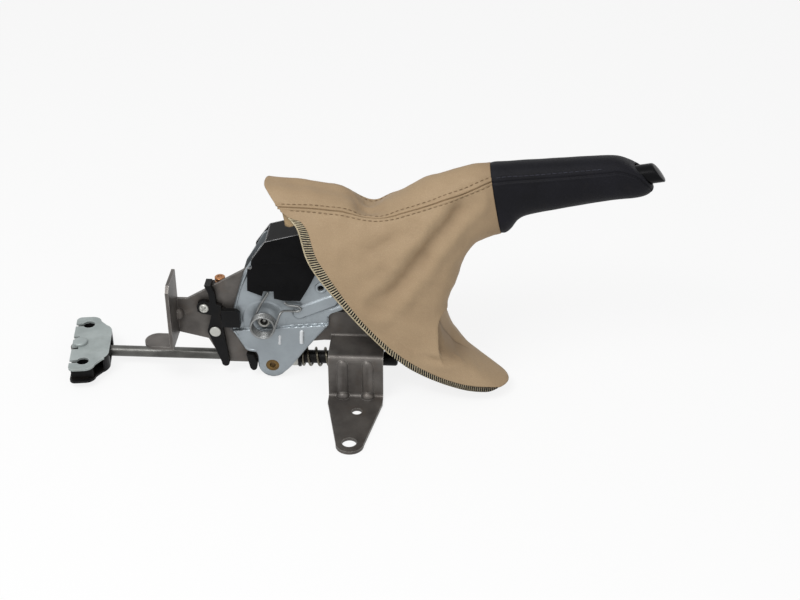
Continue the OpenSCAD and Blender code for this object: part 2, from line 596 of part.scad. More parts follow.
function guide(k, v) = let (g = boot_guides[k], i = min(floor(v), 5))
    curve(g[max(i - 1, 0)], g[i], g[i + 1], g[min(i + 2, 6)], v - i);
function boot_at(u, v) = let (i = floor(u))
    curve(guide((i + 19) % 20, v), guide(i % 20, v), guide((i + 1) % 20, v), guide((i + 2) % 20, v), u - i);
function boot_normal(u, v) = let (w = min(max(v, 0.02), 5.98))
    unit(cross(boot_at(u + 0.02, w) - boot_at(u + 19.98, w), boot_at(u, w + 0.02) - boot_at(u, w - 0.02)));
boot_m = 40;
boot_n = 19;
boot_outer = [for (i = [0 : boot_n - 1]) for (j = [0 : boot_m - 1]) boot_at(j * 20 / boot_m, i * 6 / (boot_n - 1))];
boot_inner = [for (i = [0 : boot_n - 1]) for (j = [0 : boot_m - 1])
    boot_at(j * 20 / boot_m, i * 6 / (boot_n - 1)) + boot_t * boot_normal(j * 20 / boot_m, i * 6 / (boot_n - 1))];
module boot() {
    m = boot_m;
    q = boot_m * boot_n;
    flip = [for (f = grid_faces(m, boot_n)) [f[0] + q, f[2] + q, f[1] + q]];
    first = [for (j = [0 : m - 1]) each [[j, j + q, (j + 1) % m], [(j + 1) % m, j + q, (j + 1) % m + q]]];
    e = m * (boot_n - 1);
    last = [for (j = [0 : m - 1]) each [[e + j, e + (j + 1) % m, e + j + q],
        [e + (j + 1) % m, e + (j + 1) % m + q, e + j + q]]];
    color([0.72, 0.63, 0.49]) at_pivot()
        polyhedron(points = concat(boot_outer, boot_inner), faces = concat(grid_faces(m, boot_n), flip, first, last));
}

// Pull rod, measured from the trunnion axis
nut_x = 15;
seat_x = 22;
spring_x0 = 24.5;
spring_x1 = 66;
sleeve_gap = 0.8;
module trunnion() {
    color([0.62, 0.5, 0.32]) at_pivot() on_rod() difference() {
        union() {
            across(0, 0, 8, -lobe_in + cover_gap, lobe_in - cover_gap);
            across(0, 0, journal_d / 2, -lobe_out + 0.6, lobe_out - 0.6);
        }
        along_x(0, rod_d / 2, -10, 10);
        across(0, 0, 3, -lobe_out - 1, -lobe_in);
    }
}
module pull_rod() {
    color([0.5, 0.51, 0.52]) at_pivot() on_rod() difference() {
        union() {
            along_x(0, rod_d / 2, -rod_len, nut_x);
            along_x(0, thread_d / 2, nut_x, 110);
            translate([-rod_len, 0, -eye_t / 2]) cylinder(r = 9, h = eye_t);
        }
        translate([-rod_len, 0, -eye_t]) cylinder(r = eq_pin_r + run_gap, h = 2 * eye_t);
        translate([-rod_len - 15, -10, eye_t / 2]) cube([30, 20, 5]);
        translate([-rod_len - 15, -10, -eye_t / 2 - 5]) cube([30, 20, 5]);
    }
}
module adjuster_nut() {
    color([0.72, 0.73, 0.72]) at_pivot() on_rod() difference() {
        translate([nut_x, 0, 0]) rotate([0, 90, 0]) cylinder(r = 9.5, h = seat_x - nut_x, $fn = 6);
        along_x(0, thread_d / 2, nut_x - 1, seat_x + 1);
    }
}
// Flanged seat with a guide sleeve inside the spring
module spring_seat() {
    sleeve_end = spring_x1 - 2;
    color([0.06, 0.06, 0.06]) at_pivot() on_rod() difference() {
        union() {
            along_x(0, spring_d / 2 + 0.4, seat_x, spring_x0);
            along_x(0, spring_d / 2 - spring_wire - sleeve_gap, seat_x, sleeve_end);
        }
        along_x(0, thread_d / 2, seat_x - 1, sleeve_end + 1);
    }
}
module tension_spring() {
    r = (spring_d - spring_wire) / 2;
    turns = 6;
    x0 = spring_x0 + spring_wire / 2;
    x1 = spring_x1 - spring_wire / 2;
    color([0.55, 0.56, 0.57]) at_pivot() on_rod()
        wire([for (i = [0 : 120]) let (a = 40 + i * 360 * turns / 120) [x0 + (x1 - x0) * i / 120, r * cos(a), r * sin(a)]],
            spring_wire / 2, [1, 0.02, 0]);
}
module end_washer() {
    color([0.6, 0.6, 0.6]) at_pivot() on_rod() difference() {
        along_x(0, spring_d / 2, spring_x1, spring_x1 + 2.5);
        along_x(0, thread_d / 2, spring_x1 - 1, spring_x1 + 4);
    }
}
module lock_nut() {
    color([0.6, 0.6, 0.6]) at_pivot() on_rod() difference() {
        translate([spring_x1 + 2.5, 0, 0]) rotate([0, 90, 0]) cylinder(r = 7.5, h = 7, $fn = 6);
        along_x(0, thread_d / 2, spring_x1, spring_x1 + 11);
    }
}
module rod_end_cap() {
    color([0.04, 0.04, 0.04]) at_pivot() on_rod() difference() {
        union() {
            along_x(0, 6.4, 96.5, 110);
            translate([110, 0, 0]) rotate([0, 90, 0]) cylinder(r1 = 6.4, r2 = 5, h = 1.6);
        }
        along_x(0, thread_d / 2, 95, 110);
    }
}

// Equalizer, measured from its pin
eq_back = 7;
insert_inner_wall = 7.5;
insert_end_wall = 2.5;
eq_top = eq_h / 2;
eq_front = eq_depth - eq_back;
module eq_outline() {
    half = eq_len / 2;
    difference() {
        union() {
            translate([-eq_back, -half + 9]) square([eq_depth - 13, eq_len - 18]);
            translate([-eq_back, -half + 5]) square([eq_depth - 20, eq_len - 10]);
            translate([-eq_back + 5, -half]) square([eq_depth - 27, eq_len]);
            for (s = [-1, 1]) {
                translate([-eq_back + 5, s * (half - 5)]) circle(r = 5);
                translate([eq_depth - eq_back - 20, s * (half - 9)]) circle(r = 9);
                translate([eq_front - 13, s * (half - 26)]) circle(r = 13);
            }
            translate([eq_front - 13, -half + 26]) square([13, eq_len - 52]);
            polygon([[eq_front - 15, half - 3], [eq_front - 11.2, half - 8], [eq_front - 0.6, half - 22], [eq_front - 13, half - 26]]);
            polygon([[eq_front - 15, -half + 3], [eq_front - 11.2, -half + 8], [eq_front - 0.6, -half + 22],
                [eq_front - 13, -half + 26]]);
        }
        // open middle of the rear edge, on both sides of the pin
        for (s = [-1, 1]) translate([-eq_back - 1, s * 8 - 2.4]) square([7, 4.8]);
    }
}
module sockets(h) {
    for (s = [-1, 1]) translate([8 - eq_back + 4, s * cable_spacing / 2, 0]) {
        translate([0, 0, -h]) cylinder(d = socket_d, h = 2 * h);
        translate([-30, -slot_w / 2, -h]) cube([30, slot_w, 2 * h]);
    }
}
module equalizer_channel() {
    color([0.66, 0.69, 0.68]) at_pivot() on_equalizer() difference() {
        union() {
            translate([0, 0, eq_top - eq_t]) linear_extrude(eq_t) eq_outline();
            translate([0, 0, -eq_top]) linear_extrude(eq_t) eq_outline();
            for (s = [-1, 1]) translate([0, 0, -eq_top]) linear_extrude(eq_h) intersection() {
                eq_outline();
                translate([eq_front - 5, s > 0 ? 14.5 : -26]) square([6, 11.5]);
            }
        }
        translate([0, 0, -eq_h]) cylinder(r = eq_pin_r, h = 2 * eq_h);
        translate([0, 0, eq_h]) sockets(eq_h);
    }
}
module equalizer_insert(side) {
    h = eq_top - eq_t;
    inner = (cable_spacing - socket_d) / 2 - insert_inner_wall;
    outer = (cable_spacing + socket_d) / 2 + insert_end_wall;
    color([0.05, 0.05, 0.05]) at_pivot() on_equalizer() difference() {
        translate([-eq_back + 1.5, side > 0 ? inner : -outer, -h]) cube([19.5, outer - inner, 2 * h]);
        sockets(eq_h);
    }
}
module equalizer_insert_near() { equalizer_insert(-1); }
module equalizer_insert_far() { equalizer_insert(1); }
module equalizer_pin() {
    color([0.72, 0.73, 0.72]) at_pivot() on_equalizer() {
        translate([0, 0, -eq_top]) cylinder(r = eq_pin_r, h = eq_h);
        translate([0, 0, eq_top]) cylinder(r = 6.6, h = 2.6);
        translate([0, 0, -eq_top - 2]) cylinder(r = 6, h = 2);
    }
}

base_side_near();
base_side_far();
base_spacer_rear();
base_spacer_front();
ratchet_sector();
sector_rivet();
pivot_pin();
rest_bumper();
switch_carrier();
switch_body();
switch_screw();
carrier_rivet();
switch_terminal();
switch_plunger();
lever_cheek_near();
lever_cheek_far();
lever_bridge();
lever_tube();
mechanism_cover();
pawl_rivet();
pawl_spring();
pawl();
boot_collar();
boot();
grip();
spring_seat_ring();
release_button();
release_rod();
button_spring();
trunnion();
pull_rod();
adjuster_nut();
spring_seat();
tension_spring();
end_washer();
lock_nut();
rod_end_cap();
equalizer_channel();
equalizer_insert_near();
equalizer_insert_far();
equalizer_pin();
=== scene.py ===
import json
import math
import bmesh
import bpy
import numpy as np
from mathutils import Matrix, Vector, geometry


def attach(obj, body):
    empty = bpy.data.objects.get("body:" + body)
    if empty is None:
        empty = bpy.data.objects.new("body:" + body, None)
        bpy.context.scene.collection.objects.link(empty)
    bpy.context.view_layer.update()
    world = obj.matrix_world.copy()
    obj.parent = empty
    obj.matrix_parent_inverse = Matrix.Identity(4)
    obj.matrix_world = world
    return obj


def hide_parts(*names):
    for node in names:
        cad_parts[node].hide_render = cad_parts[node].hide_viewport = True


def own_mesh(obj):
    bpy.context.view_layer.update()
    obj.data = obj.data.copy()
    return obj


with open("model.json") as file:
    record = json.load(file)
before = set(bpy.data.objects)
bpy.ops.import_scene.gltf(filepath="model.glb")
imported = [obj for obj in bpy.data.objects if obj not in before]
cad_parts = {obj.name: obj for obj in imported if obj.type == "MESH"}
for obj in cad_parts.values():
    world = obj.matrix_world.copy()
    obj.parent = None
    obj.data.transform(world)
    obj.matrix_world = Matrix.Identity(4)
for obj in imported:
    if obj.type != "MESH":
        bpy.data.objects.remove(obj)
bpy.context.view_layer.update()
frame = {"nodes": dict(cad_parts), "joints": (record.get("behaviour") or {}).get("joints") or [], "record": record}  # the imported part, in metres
joints = {j["name"]: j for j in frame["joints"]}
pivot = np.array(joints["lever_pivot"]["pos_m"])  # every shape below is in mm from the lever's pivot
scene = bpy.context.scene
scene.view_settings.view_transform = "Standard"


# small tools for shapes, in mm from the pivot
def inMetres(points):
    return (np.asarray(points, float) / 1000 + pivot).tolist()


def placePiece(name, mesh, finishes, body, nodes):
    for finish in finishes:
        mesh.materials.append(finish)
    mesh.polygons.foreach_set("use_smooth", [True] * len(mesh.polygons))
    piece = bpy.data.objects.new(name, mesh)
    scene.collection.objects.link(piece)
    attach(piece, body)
    if nodes:
        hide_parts(*nodes)
    return piece


def addPiece(name, shape, finishes, body, nodes=()):  # shape is points and faces
    mesh = bpy.data.meshes.new(name)
    mesh.from_pydata(inMetres(shape[0]), [], shape[1])
    work = bmesh.new()
    work.from_mesh(mesh)
    bmesh.ops.recalc_face_normals(work, faces=work.faces)
    work.to_mesh(mesh)
    work.free()
    return placePiece(name, mesh, finishes, body, nodes)


def sharpen(piece, angle):
    piece.data.set_sharp_from_angle(angle=math.radians(angle))


def softenEdges(piece, width, segments=3, angle=30):
    bevel = piece.modifiers.new("softEdges", "BEVEL")
    bevel.width = width / 1000
    bevel.segments = segments
    bevel.limit_method = "ANGLE"
    bevel.angle_limit = math.radians(angle)
    bevel.harden_normals = True
    sharpen(piece, angle)


def softCopy(node, width, finish):  # the CAD piece with its edges rounded
    mesh = frame["nodes"][node].data.copy()
    mesh.name = node + "_soft"
    work = bmesh.new()
    work.from_mesh(mesh)
    bmesh.ops.remove_doubles(work, verts=work.verts, dist=2e-6)
    bmesh.ops.dissolve_limit(work, angle_limit=math.radians(1), verts=work.verts, edges=work.edges)
    work.to_mesh(mesh)
    work.free()
    mesh.materials.clear()
    softenEdges(placePiece(node + "_soft", mesh, [finish], bodyOf[node], [node]), width)


def gridFaces(rows, columns, closed=True):
    last = columns if closed else columns - 1
    return [tuple((i + a) * columns + (j + b) % columns for a, b in ((0, 0), (0, 1), (1, 1), (1, 0)))
            for i in range(rows - 1) for j in range(last)]


def endCaps(count, sides):
    return [tuple(range(sides)), tuple(range(count - sides, count))]


def joined(parts):  # several point and face lists as one
    points, faces = [], []
    for partPoints, partFaces in parts:
        start = len(points)
        points += [tuple(p) for p in partPoints]
        faces += [tuple(start + i for i in f) for f in partFaces]
    return points, faces


def unit(v):
    return v / np.linalg.norm(v)


def runAlong(path):  # length of the path up to each point
    return np.concatenate([[0], np.cumsum(np.linalg.norm(np.diff(path, axis=0), axis=1))])


def ringMesh(rings, sides):  # each ring is a centre, two directions across it and its radius or radii
    turns = 2 * math.pi * np.arange(sides) / sides
    points = np.vstack([centre + np.reshape(radius, (-1, 1))
                        * (np.outer(np.cos(turns), side) + np.outer(np.sin(turns), up))
                        for centre, side, up, radius in rings])
    return points, gridFaces(len(rings), sides) + endCaps(len(points), sides)


def tube(path, radius, sides=12, roundEnds=True):
    path = [np.array(p, float) for p in path]
    radii = [radius] * len(path)
    if roundEnds:
        first, last = unit(path[0] - path[1]) * radius, unit(path[-1] - path[-2]) * radius
        path = [path[0] + first * 0.95, path[0] + first * 0.62, *path,
                path[-1] + last * 0.62, path[-1] + last * 0.95]
        radii = [radius * 0.32, radius * 0.78, *radii, radius * 0.78, radius * 0.32]
    rings, side = [], None
    for i, p in enumerate(path):
        along = unit(path[min(i + 1, len(path) - 1)] - path[max(i - 1, 0)])
        if side is None:
            side = np.cross(along, (0.3, 0.9, 0.2))
        side = unit(side - along * np.dot(side, along))
        rings.append((p, side, np.cross(along, side), radii[i]))
    return ringMesh(rings, sides)


def lathe(profile, centre, axis, sides=48):  # profile rows are distance along the axis, radius
    axis = unit(np.array(axis, float))
    side = unit(np.cross(axis, (0.31, 0.22, 0.9)))
    return ringMesh([(np.array(centre) + axis * along, side, np.cross(axis, side), max(radius, 0.01))
                     for along, radius in profile], sides)


def smoothPath(points, count):  # Catmull-Rom curve through the points
    p = np.array(points, float)
    p = np.vstack([2 * p[0] - p[1], p, 2 * p[-1] - p[-2]])
    out = []
    for t in np.linspace(0, len(points) - 1, count):
        i = min(int(t), len(points) - 2)
        out.append(spline(p[i], p[i + 1], p[i + 2], p[i + 3], t - i))
    return np.array(out)


def spline(a, b, c, d, t):
    square, cube = 2 * a - 5 * b + 4 * c - d, 3 * b - a - 3 * c + d
    return 0.5 * (2 * b + (c - a) * t + square * t * t + cube * t ** 3)


def rounded(corners, steps=6):  # corners are x, z and a fillet radius
    out = []
    n = len(corners)
    for i in range(n):
        p = np.array(corners[i][:2], float)
        before = np.array(corners[i - 1][:2], float) - p
        after = np.array(corners[(i + 1) % n][:2], float) - p
        cut = min(corners[i][2], 0.45 * np.linalg.norm(before), 0.45 * np.linalg.norm(after))
        a, b = p + unit(before) * cut, p + unit(after) * cut
        for t in np.linspace(0, 1, steps):
            out.append((1 - t) ** 2 * a + 2 * t * (1 - t) * p + t * t * b)
    return np.array(out)


def resample(loop, gap):  # even points round a closed loop
    loop = np.vstack([loop, loop[:1]])
    run = runAlong(loop)
    at = np.linspace(0, run[-1], max(int(run[-1] / gap), 8), endpoint=False)
    return np.column_stack([np.interp(at, run, loop[:, k]) for k in range(2)])


def inside(points, loop):
    x, z = points[:, 0], points[:, 1]
    hit = np.zeros(len(points), bool)
    for (x0, z0), (x1, z1) in zip(loop, np.roll(loop, -1, axis=0)):
        crossing = (z0 > z) != (z1 > z)
        with np.errstate(divide="ignore", invalid="ignore"):
            hit ^= crossing & (x < (x1 - x0) * (z - z0) / (z1 - z0) + x0)
    return hit


def distanceTo(points, line):  # from each point to a line of points, in two or three dimensions
    best = np.full(len(points), 1e9)
    for a, b in zip(line[:-1], line[1:]):
        span = b - a
        t = np.clip((points - a) @ span / max(span @ span, 1e-9), 0, 1)
        best = np.minimum(best, np.linalg.norm(points - a - t[:, None] * span, axis=1))
    return best


def ease(t):
    t = np.clip(t, 0, 1)
    return t * t * (3 - 2 * t)


def between(values, start, end):  # eases from 0 to 1
    return ease((values - start) / (end - start))


def pressedSheet(outline, holes, height, gap):  # height gives y of the outer and the inner face
    loops = [resample(loop, gap) for loop in (outline, *holes)]

    def within(points):
        hit = inside(points, loops[0])
        for loop in loops[1:]:
            hit &= ~inside(points, loop)
        return hit

    low, high = loops[0].min(0), loops[0].max(0)
    xs, zs = np.arange(low[0], high[0], gap), np.arange(low[1], high[1], gap * 0.87)
    fill = np.array([(x + (gap / 2 if k % 2 else 0), z) for k, z in enumerate(zs) for x in xs])
    keep = within(fill)
    for loop in loops:
        keep &= distanceTo(fill, np.vstack([loop, loop[:1]])) > gap * 0.6
    flat = np.vstack(loops + [fill[keep]])
    edges, start = [], 0
    for loop in loops:
        edges += [(start + i, start + (i + 1) % len(loop)) for i in range(len(loop))]
        start += len(loop)
    made = geometry.delaunay_2d_cdt([Vector(p) for p in flat], edges, [], 1, 1e-5)
    flat = np.array([tuple(v) for v in made[0]])
    faces = np.array([f for f in made[2] if len(f) == 3])
    faces = faces[within(flat[faces].mean(1))].tolist()
    points = np.vstack([np.column_stack([flat[:, 0], y, flat[:, 1]]) for y in height(flat)])
    count = len(flat)
    used = dict.fromkeys((f[k], f[(k + 1) % 3]) for f in faces for k in range(3))
    allFaces = [tuple(f) for f in faces] + [tuple(i + count for i in reversed(f)) for f in faces]
    return points, allFaces + [(b, a, a + count, b + count) for a, b in used if (b, a) not in used]


# node groups that several finishes share
def linear(r, g, b):
    return tuple((c / 255 / 12.92 if c / 255 <= 0.04045 else ((c / 255 + 0.055) / 1.055) ** 2.4)
                 for c in (r, g, b)) + (1,)


def newGroup(name, inputs, outputs):
    group = bpy.data.node_groups.new(name, "ShaderNodeTree")
    for label, value in inputs.items():
        socket = group.interface.new_socket(name=label, in_out="INPUT", socket_type="NodeSocketFloat")
        socket.default_value = value
    for label in outputs:
        group.interface.new_socket(name=label, in_out="OUTPUT", socket_type="NodeSocketFloat")
    return group, group.nodes.new("NodeGroupInput").outputs, group.nodes.new("NodeGroupOutput").inputs


def feed(tree, value, socket):
    if isinstance(value, bpy.types.NodeSocket):
        tree.links.new(value, socket)
    else:
        socket.default_value = value


def feedAll(tree, node, *values):  # inputs in their order
    for socket, value in zip(node.inputs, values):
        feed(tree, value, socket)
    return node.outputs[0]


def addNode(tree, kind, **values):
    node = tree.nodes.new("ShaderNode" + kind)
    for label, value in values.items():
        if hasattr(node, label):
            setattr(node, label, value)
        else:
            feed(tree, value, node.inputs[label])
    return node


def mathNode(tree, operation, a, b, clamp=False):
    return feedAll(tree, addNode(tree, "Math", operation=operation, use_clamp=clamp), a, b)


def spread(tree, value, low, high, toLow=0.0, toHigh=1.0):
    return feedAll(tree, addNode(tree, "MapRange", clamp=True), value, low, high, toLow, toHigh)


def objectPlace(tree):
    return addNode(tree, "TexCoord").outputs["Object"]


def noiseAt(tree, scale, detail, **values):
    return addNode(tree, "TexNoise", Vector=objectPlace(tree), Scale=scale, Detail=detail, **values).outputs


def makeClouds():  # soft patches of tone
    tree, given, put = newGroup("toneClouds", {"Scale": 40, "Low": 0.35, "High": 0.65}, ["Mask"])
    noise = noiseAt(tree, given["Scale"], 5, Roughness=0.6)["Fac"]
    feed(tree, spread(tree, noise, given["Low"], given["High"]), put["Mask"])
    return tree


def makeGrain():  # leather cells with fine pores
    tree, given, put = newGroup("leatherGrain", {"Scale": 700, "Pores": 0.3}, ["Height", "Creases"])
    warp = feedAll(tree, addNode(tree, "VectorMath", operation="MULTIPLY_ADD"),
                   noiseAt(tree, 180, 2)["Color"], (0.0016, 0.0016, 0.0016), objectPlace(tree))
    cells = addNode(tree, "TexVoronoi", feature="DISTANCE_TO_EDGE", Vector=warp, Scale=given["Scale"])
    ridge = spread(tree, cells.outputs["Distance"], 0.0, 0.32)
    pores = mathNode(tree, "MULTIPLY", noiseAt(tree, 2600, 2)["Fac"], given["Pores"])
    feed(tree, mathNode(tree, "ADD", ridge, pores), put["Height"])
    feed(tree, mathNode(tree, "SUBTRACT", 1.0, ridge), put["Creases"])
    return tree


def makeEdgeWearAndHighlight():  # edges found by the bevel, broken up by noise: worn edges, and the painted highlight on upward edges
    tree, given, put = newGroup("edgeWearAndHighlight", {"Radius": 0.001, "Strength": 6, "Breakup": 90}, ["Mask"])
    bent = addNode(tree, "Bevel", samples=6, Radius=given["Radius"]).outputs[0]
    dot = addNode(tree, "VectorMath", operation="DOT_PRODUCT")
    feedAll(tree, dot, bent, addNode(tree, "NewGeometry").outputs["Normal"])
    turn = mathNode(tree, "SUBTRACT", 1.0, dot.outputs["Value"])
    strong = mathNode(tree, "MULTIPLY", turn, given["Strength"])
    broken = spread(tree, noiseAt(tree, given["Breakup"], 4)["Fac"], 0.3, 0.6)
    feed(tree, mathNode(tree, "MULTIPLY", strong, broken, True), put["Mask"])
    return tree


def makeCornerShadeAndGrime():  # painted shade in corners and hollows from ambient occlusion, with some dust and grease
    tree, given, put = newGroup("cornerShadeAndGrime", {"Reach": 0.008, "Amount": 1.0}, ["Mask"])
    shade = addNode(tree, "AmbientOcclusion", samples=6, Distance=given["Reach"]).outputs["AO"]
    hollow = mathNode(tree, "SUBTRACT", 1.0, shade)
    rough = mathNode(tree, "MULTIPLY", hollow, spread(tree, noiseAt(tree, 120, 4)["Fac"], 0.25, 0.65))
    feed(tree, mathNode(tree, "MULTIPLY", rough, given["Amount"], True), put["Mask"])
    return tree


cloudGroup, grainGroup, edgeWearAndHighlightGroup, dirtGroup = makeClouds(), makeGrain(), makeEdgeWearAndHighlight(), makeCornerShadeAndGrime()
print("node groups made")


# finishes
def useGroup(tree, group, **values):
    node = tree.nodes.new("ShaderNodeGroup")
    node.node_tree = group
    for label, value in values.items():
        node.inputs[label].default_value = value
    return node.outputs


def mixColour(tree, factor, a, b):
    node = addNode(tree, "Mix", data_type="RGBA")
    for index, value in ((0, factor), (6, a), (7, b)):
        feed(tree, linear(*value) if isinstance(value, tuple) else value, node.inputs[index])
    return node.outputs[2]


def startFinish(name):
    finish = bpy.data.materials.new(name)
    finish.use_nodes = True
    return finish, finish.node_tree, finish.node_tree.nodes["Principled BSDF"]


# what each kind of finish has where its own settings say nothing else
kinds = {
    "metal": {"cloudScale": 45, "cloudLow": 0.35, "cloudHigh": 0.65, "fineScale": 900, "stainScale": 70,
              "stainLow": 0.55, "stainHigh": 0.72, "dirt": (48, 44, 40), "dirtReach": 0.006,
              "dirtAmount": 0.9, "wearRadius": 0.0008, "wearStrength": 5, "smoother": 0.06, "rougher": 0.08,
              "bump": 0.12, "bumpDeep": 0.0002},
    "plastic": {"cloudScale": 60, "cloudLow": 0.35, "cloudHigh": 0.65, "fineScale": 1800,
                "dirt": (58, 50, 42), "dirtReach": 0.006, "dirtAmount": 0.5, "edge": (70, 70, 72),
                "wearRadius": 0.0006, "wearStrength": 2, "smoother": 0.05, "rougher": 0.07, "gloss": 0.12,
                "bump": 0.15, "bumpDeep": 0.00015},
    "leather": {"cloudLow": 0.3, "cloudHigh": 0.7, "stainLow": 0.62, "stainHigh": 0.8, "dirtReach": 0.012,
                "smoother": 0.05, "rougher": 0.06, "bumpDeep": 0.0003},
}
kinds["thread"] = {**kinds["plastic"], "rough": 0.75, "cloudScale": 400, "fineScale": 4000,
                   "wearStrength": 0.3, "bump": 0.5, "dirtAmount": 0.6}


def patchMask(tree, look, name):
    values = {label: look[name + label] for label in ("Scale", "Low", "High")}
    return useGroup(tree, cloudGroup, **values)["Mask"]


def makeFinish(name, kind, **settings):
    look = {**kinds[kind], **settings}
    finish, tree, shader = startFinish(name)
    clouds = patchMask(tree, look, "cloud")
    colour = mixColour(tree, clouds, look["dark"], look["base"])
    if kind == "leather":
        grain = useGroup(tree, grainGroup, Scale=look["grainScale"], Pores=look["pores"])
        height = grain["Height"]
        creases = mathNode(tree, "MULTIPLY", grain["Creases"], look["creaseShare"])
        colour = mixColour(tree, creases, colour, look["crease"])
    else:
        height = useGroup(tree, cloudGroup, Scale=look["fineScale"], Low=0.3, High=0.7)["Mask"]
    if "stain" in look:
        patches = mathNode(tree, "MULTIPLY", patchMask(tree, look, "stain"), look["stainShare"])
        colour = mixColour(tree, patches, colour, look["stain"])
    if "soiling" in look:  # the mesh says where: darker near the collar, and painted shade in fold valleys and in the front tuck
        soilingAndShadeMask = addNode(tree, "Attribute", attribute_name="soiling").outputs["Fac"]
        # the stain colour also paints the shade here
        colour = mixColour(tree, mathNode(tree, "MULTIPLY", soilingAndShadeMask, look["soiling"]), colour, look["stain"])
    # painted shade and grime: the colour darkens where ambient occlusion finds corners and hollows
    dirt = useGroup(tree, dirtGroup, Reach=look["dirtReach"], Amount=look["dirtAmount"])["Mask"]
    colour = mixColour(tree, dirt, colour, look["dirt"])
    if "upperEdge" in look:  # painted highlight: lighter where an edge faces up
        facing = addNode(tree, "SeparateXYZ")
        feedAll(tree, facing, addNode(tree, "NewGeometry").outputs["Normal"])
        paintedHighlight = useGroup(tree, edgeWearAndHighlightGroup, Radius=0.0022, Strength=7, Breakup=6)["Mask"]
        paintedHighlight = mathNode(tree, "MULTIPLY", paintedHighlight, spread(tree, facing.outputs["Z"], 0.3, 0.6))
        colour = mixColour(tree, paintedHighlight, colour, look["upperEdge"])
    if "edge" in look:
        wear = useGroup(tree, edgeWearAndHighlightGroup, Radius=look["wearRadius"], Strength=look["wearStrength"])["Mask"]
        colour = mixColour(tree, wear, colour, look["edge"])
    feed(tree, colour, shader.inputs["Base Color"])
    low, high = look["rough"] - look["smoother"], look["rough"] + look["rougher"]
    rough = spread(tree, height if kind == "metal" else clouds, 0, 1, low, high)
    if kind == "metal":
        shader.inputs["Metallic"].default_value = look["metal"]
        rough = mathNode(tree, "ADD", rough, mathNode(tree, "MULTIPLY", dirt, 0.25))
    else:
        shader.inputs["Specular IOR Level"].default_value = look["gloss"]
    feed(tree, rough, shader.inputs["Roughness"])
    bump = addNode(tree, "Bump", Strength=look["bump"], Distance=look["bumpDeep"], Height=height)
    feed(tree, bump.outputs["Normal"], shader.inputs["Normal"])
    return finish


bracketSteel = makeFinish(
    "bracketSteel", "metal", base=(102, 98, 94), dark=(80, 76, 73), edge=(164, 161, 157), metal=0.55,
    rough=0.42, stain=(98, 80, 64), stainShare=0.2, stainScale=55, fineScale=1300)
zincPlate = makeFinish(
    "zincPlate", "metal", base=(156, 164, 169), dark=(144, 151, 156), edge=(226, 230, 232), metal=0.7,
    rough=0.34, wearStrength=2, stain=(118, 121, 122), stainShare=0.18, stainScale=90,
    dirt=(52, 49, 46), dirtReach=0.01)
equalizerZinc = makeFinish(
    "equalizerZinc", "metal", base=(166, 174, 173), dark=(146, 154, 153), edge=(205, 210, 208),
    metal=0.35, rough=0.5, stain=(128, 130, 122), stainShare=0.3, stainScale=110)
plainSteel = makeFinish(
    "plainSteel", "metal", base=(96, 96, 93), dark=(72, 71, 69), edge=(164, 164, 162), metal=0.7,
    rough=0.36, stain=(96, 84, 72), stainShare=0.35)
springSteel = makeFinish(
    "springSteel", "metal", base=(150, 152, 152), dark=(112, 113, 112), edge=(196, 197, 196),
    metal=0.75, rough=0.3, stain=(92, 84, 74), stainShare=0.35, stainScale=160)
darkSpring = makeFinish(
    "darkSpring", "metal", base=(112, 107, 94), dark=(76, 72, 62), edge=(176, 172, 158), metal=0.75,
    rough=0.28, stain=(84, 70, 48), stainShare=0.45, stainScale=190)
hardSteel = makeFinish(
    "hardSteel", "metal", base=(88, 88, 90), dark=(66, 66, 68), edge=(150, 150, 150), metal=0.7,
    rough=0.4)
# near-white zinc that paints the highlight on the cheek's beads
beadHighlightZinc = makeFinish(
    "beadHighlightZinc", "metal", base=(228, 231, 233), dark=(210, 214, 217), edge=(244, 245, 246),
    metal=0.25, rough=0.4, dirtAmount=0.1)
yellowSteel = makeFinish(
    "yellowSteel", "metal", base=(128, 98, 44), dark=(78, 58, 34), edge=(176, 146, 84), metal=0.5,
    rough=0.42, stain=(58, 38, 24), stainShare=0.85, stainScale=170, dirtAmount=1.3)
paleZinc = makeFinish(
    "paleZinc", "metal", base=(202, 202, 196), dark=(176, 176, 170), edge=(232, 232, 228), metal=0.45,
    rough=0.36, stain=(140, 136, 126), stainShare=0.25, stainScale=150)
terminalBrass = makeFinish(
    "terminalBrass", "metal", base=(200, 148, 104), dark=(158, 108, 70), edge=(236, 196, 156),
    metal=0.75, rough=0.3, stain=(96, 64, 40), stainShare=0.5, stainScale=200)
blackPlastic = makeFinish("blackPlastic", "plastic", base=(22, 22, 23), dark=(15, 15, 16), rough=0.4)
# the cover's upward edges carry a painted highlight
coverPlastic = makeFinish(
    "coverPlastic", "plastic", base=(18, 18, 19), dark=(13, 13, 14), rough=0.3, gloss=0.05, bump=0.08,
    dirtAmount=0.25, upperEdge=(214, 214, 216))
blackRubber = makeFinish(
    "blackRubber", "plastic", base=(24, 24, 24), dark=(16, 16, 16), rough=0.62, bump=0.25,
    edge=(52, 52, 52))
buttonPlastic = makeFinish(
    "buttonPlastic", "plastic", base=(9, 9, 11), dark=(7, 7, 8), rough=0.28, gloss=0.09, bump=0,
    wearStrength=0, dirtAmount=0)
gripLeather = makeFinish(
    "gripLeather", "leather", base=(29, 29, 35), dark=(21, 21, 25), crease=(13, 13, 15),
    creaseShare=0.5, stain=(52, 46, 40), dirt=(52, 46, 40), stainShare=0.18, stainScale=60,
    cloudScale=35, grainScale=900, pores=0.3, rough=0.5, gloss=0.1, bump=0.3, dirtAmount=0.1)
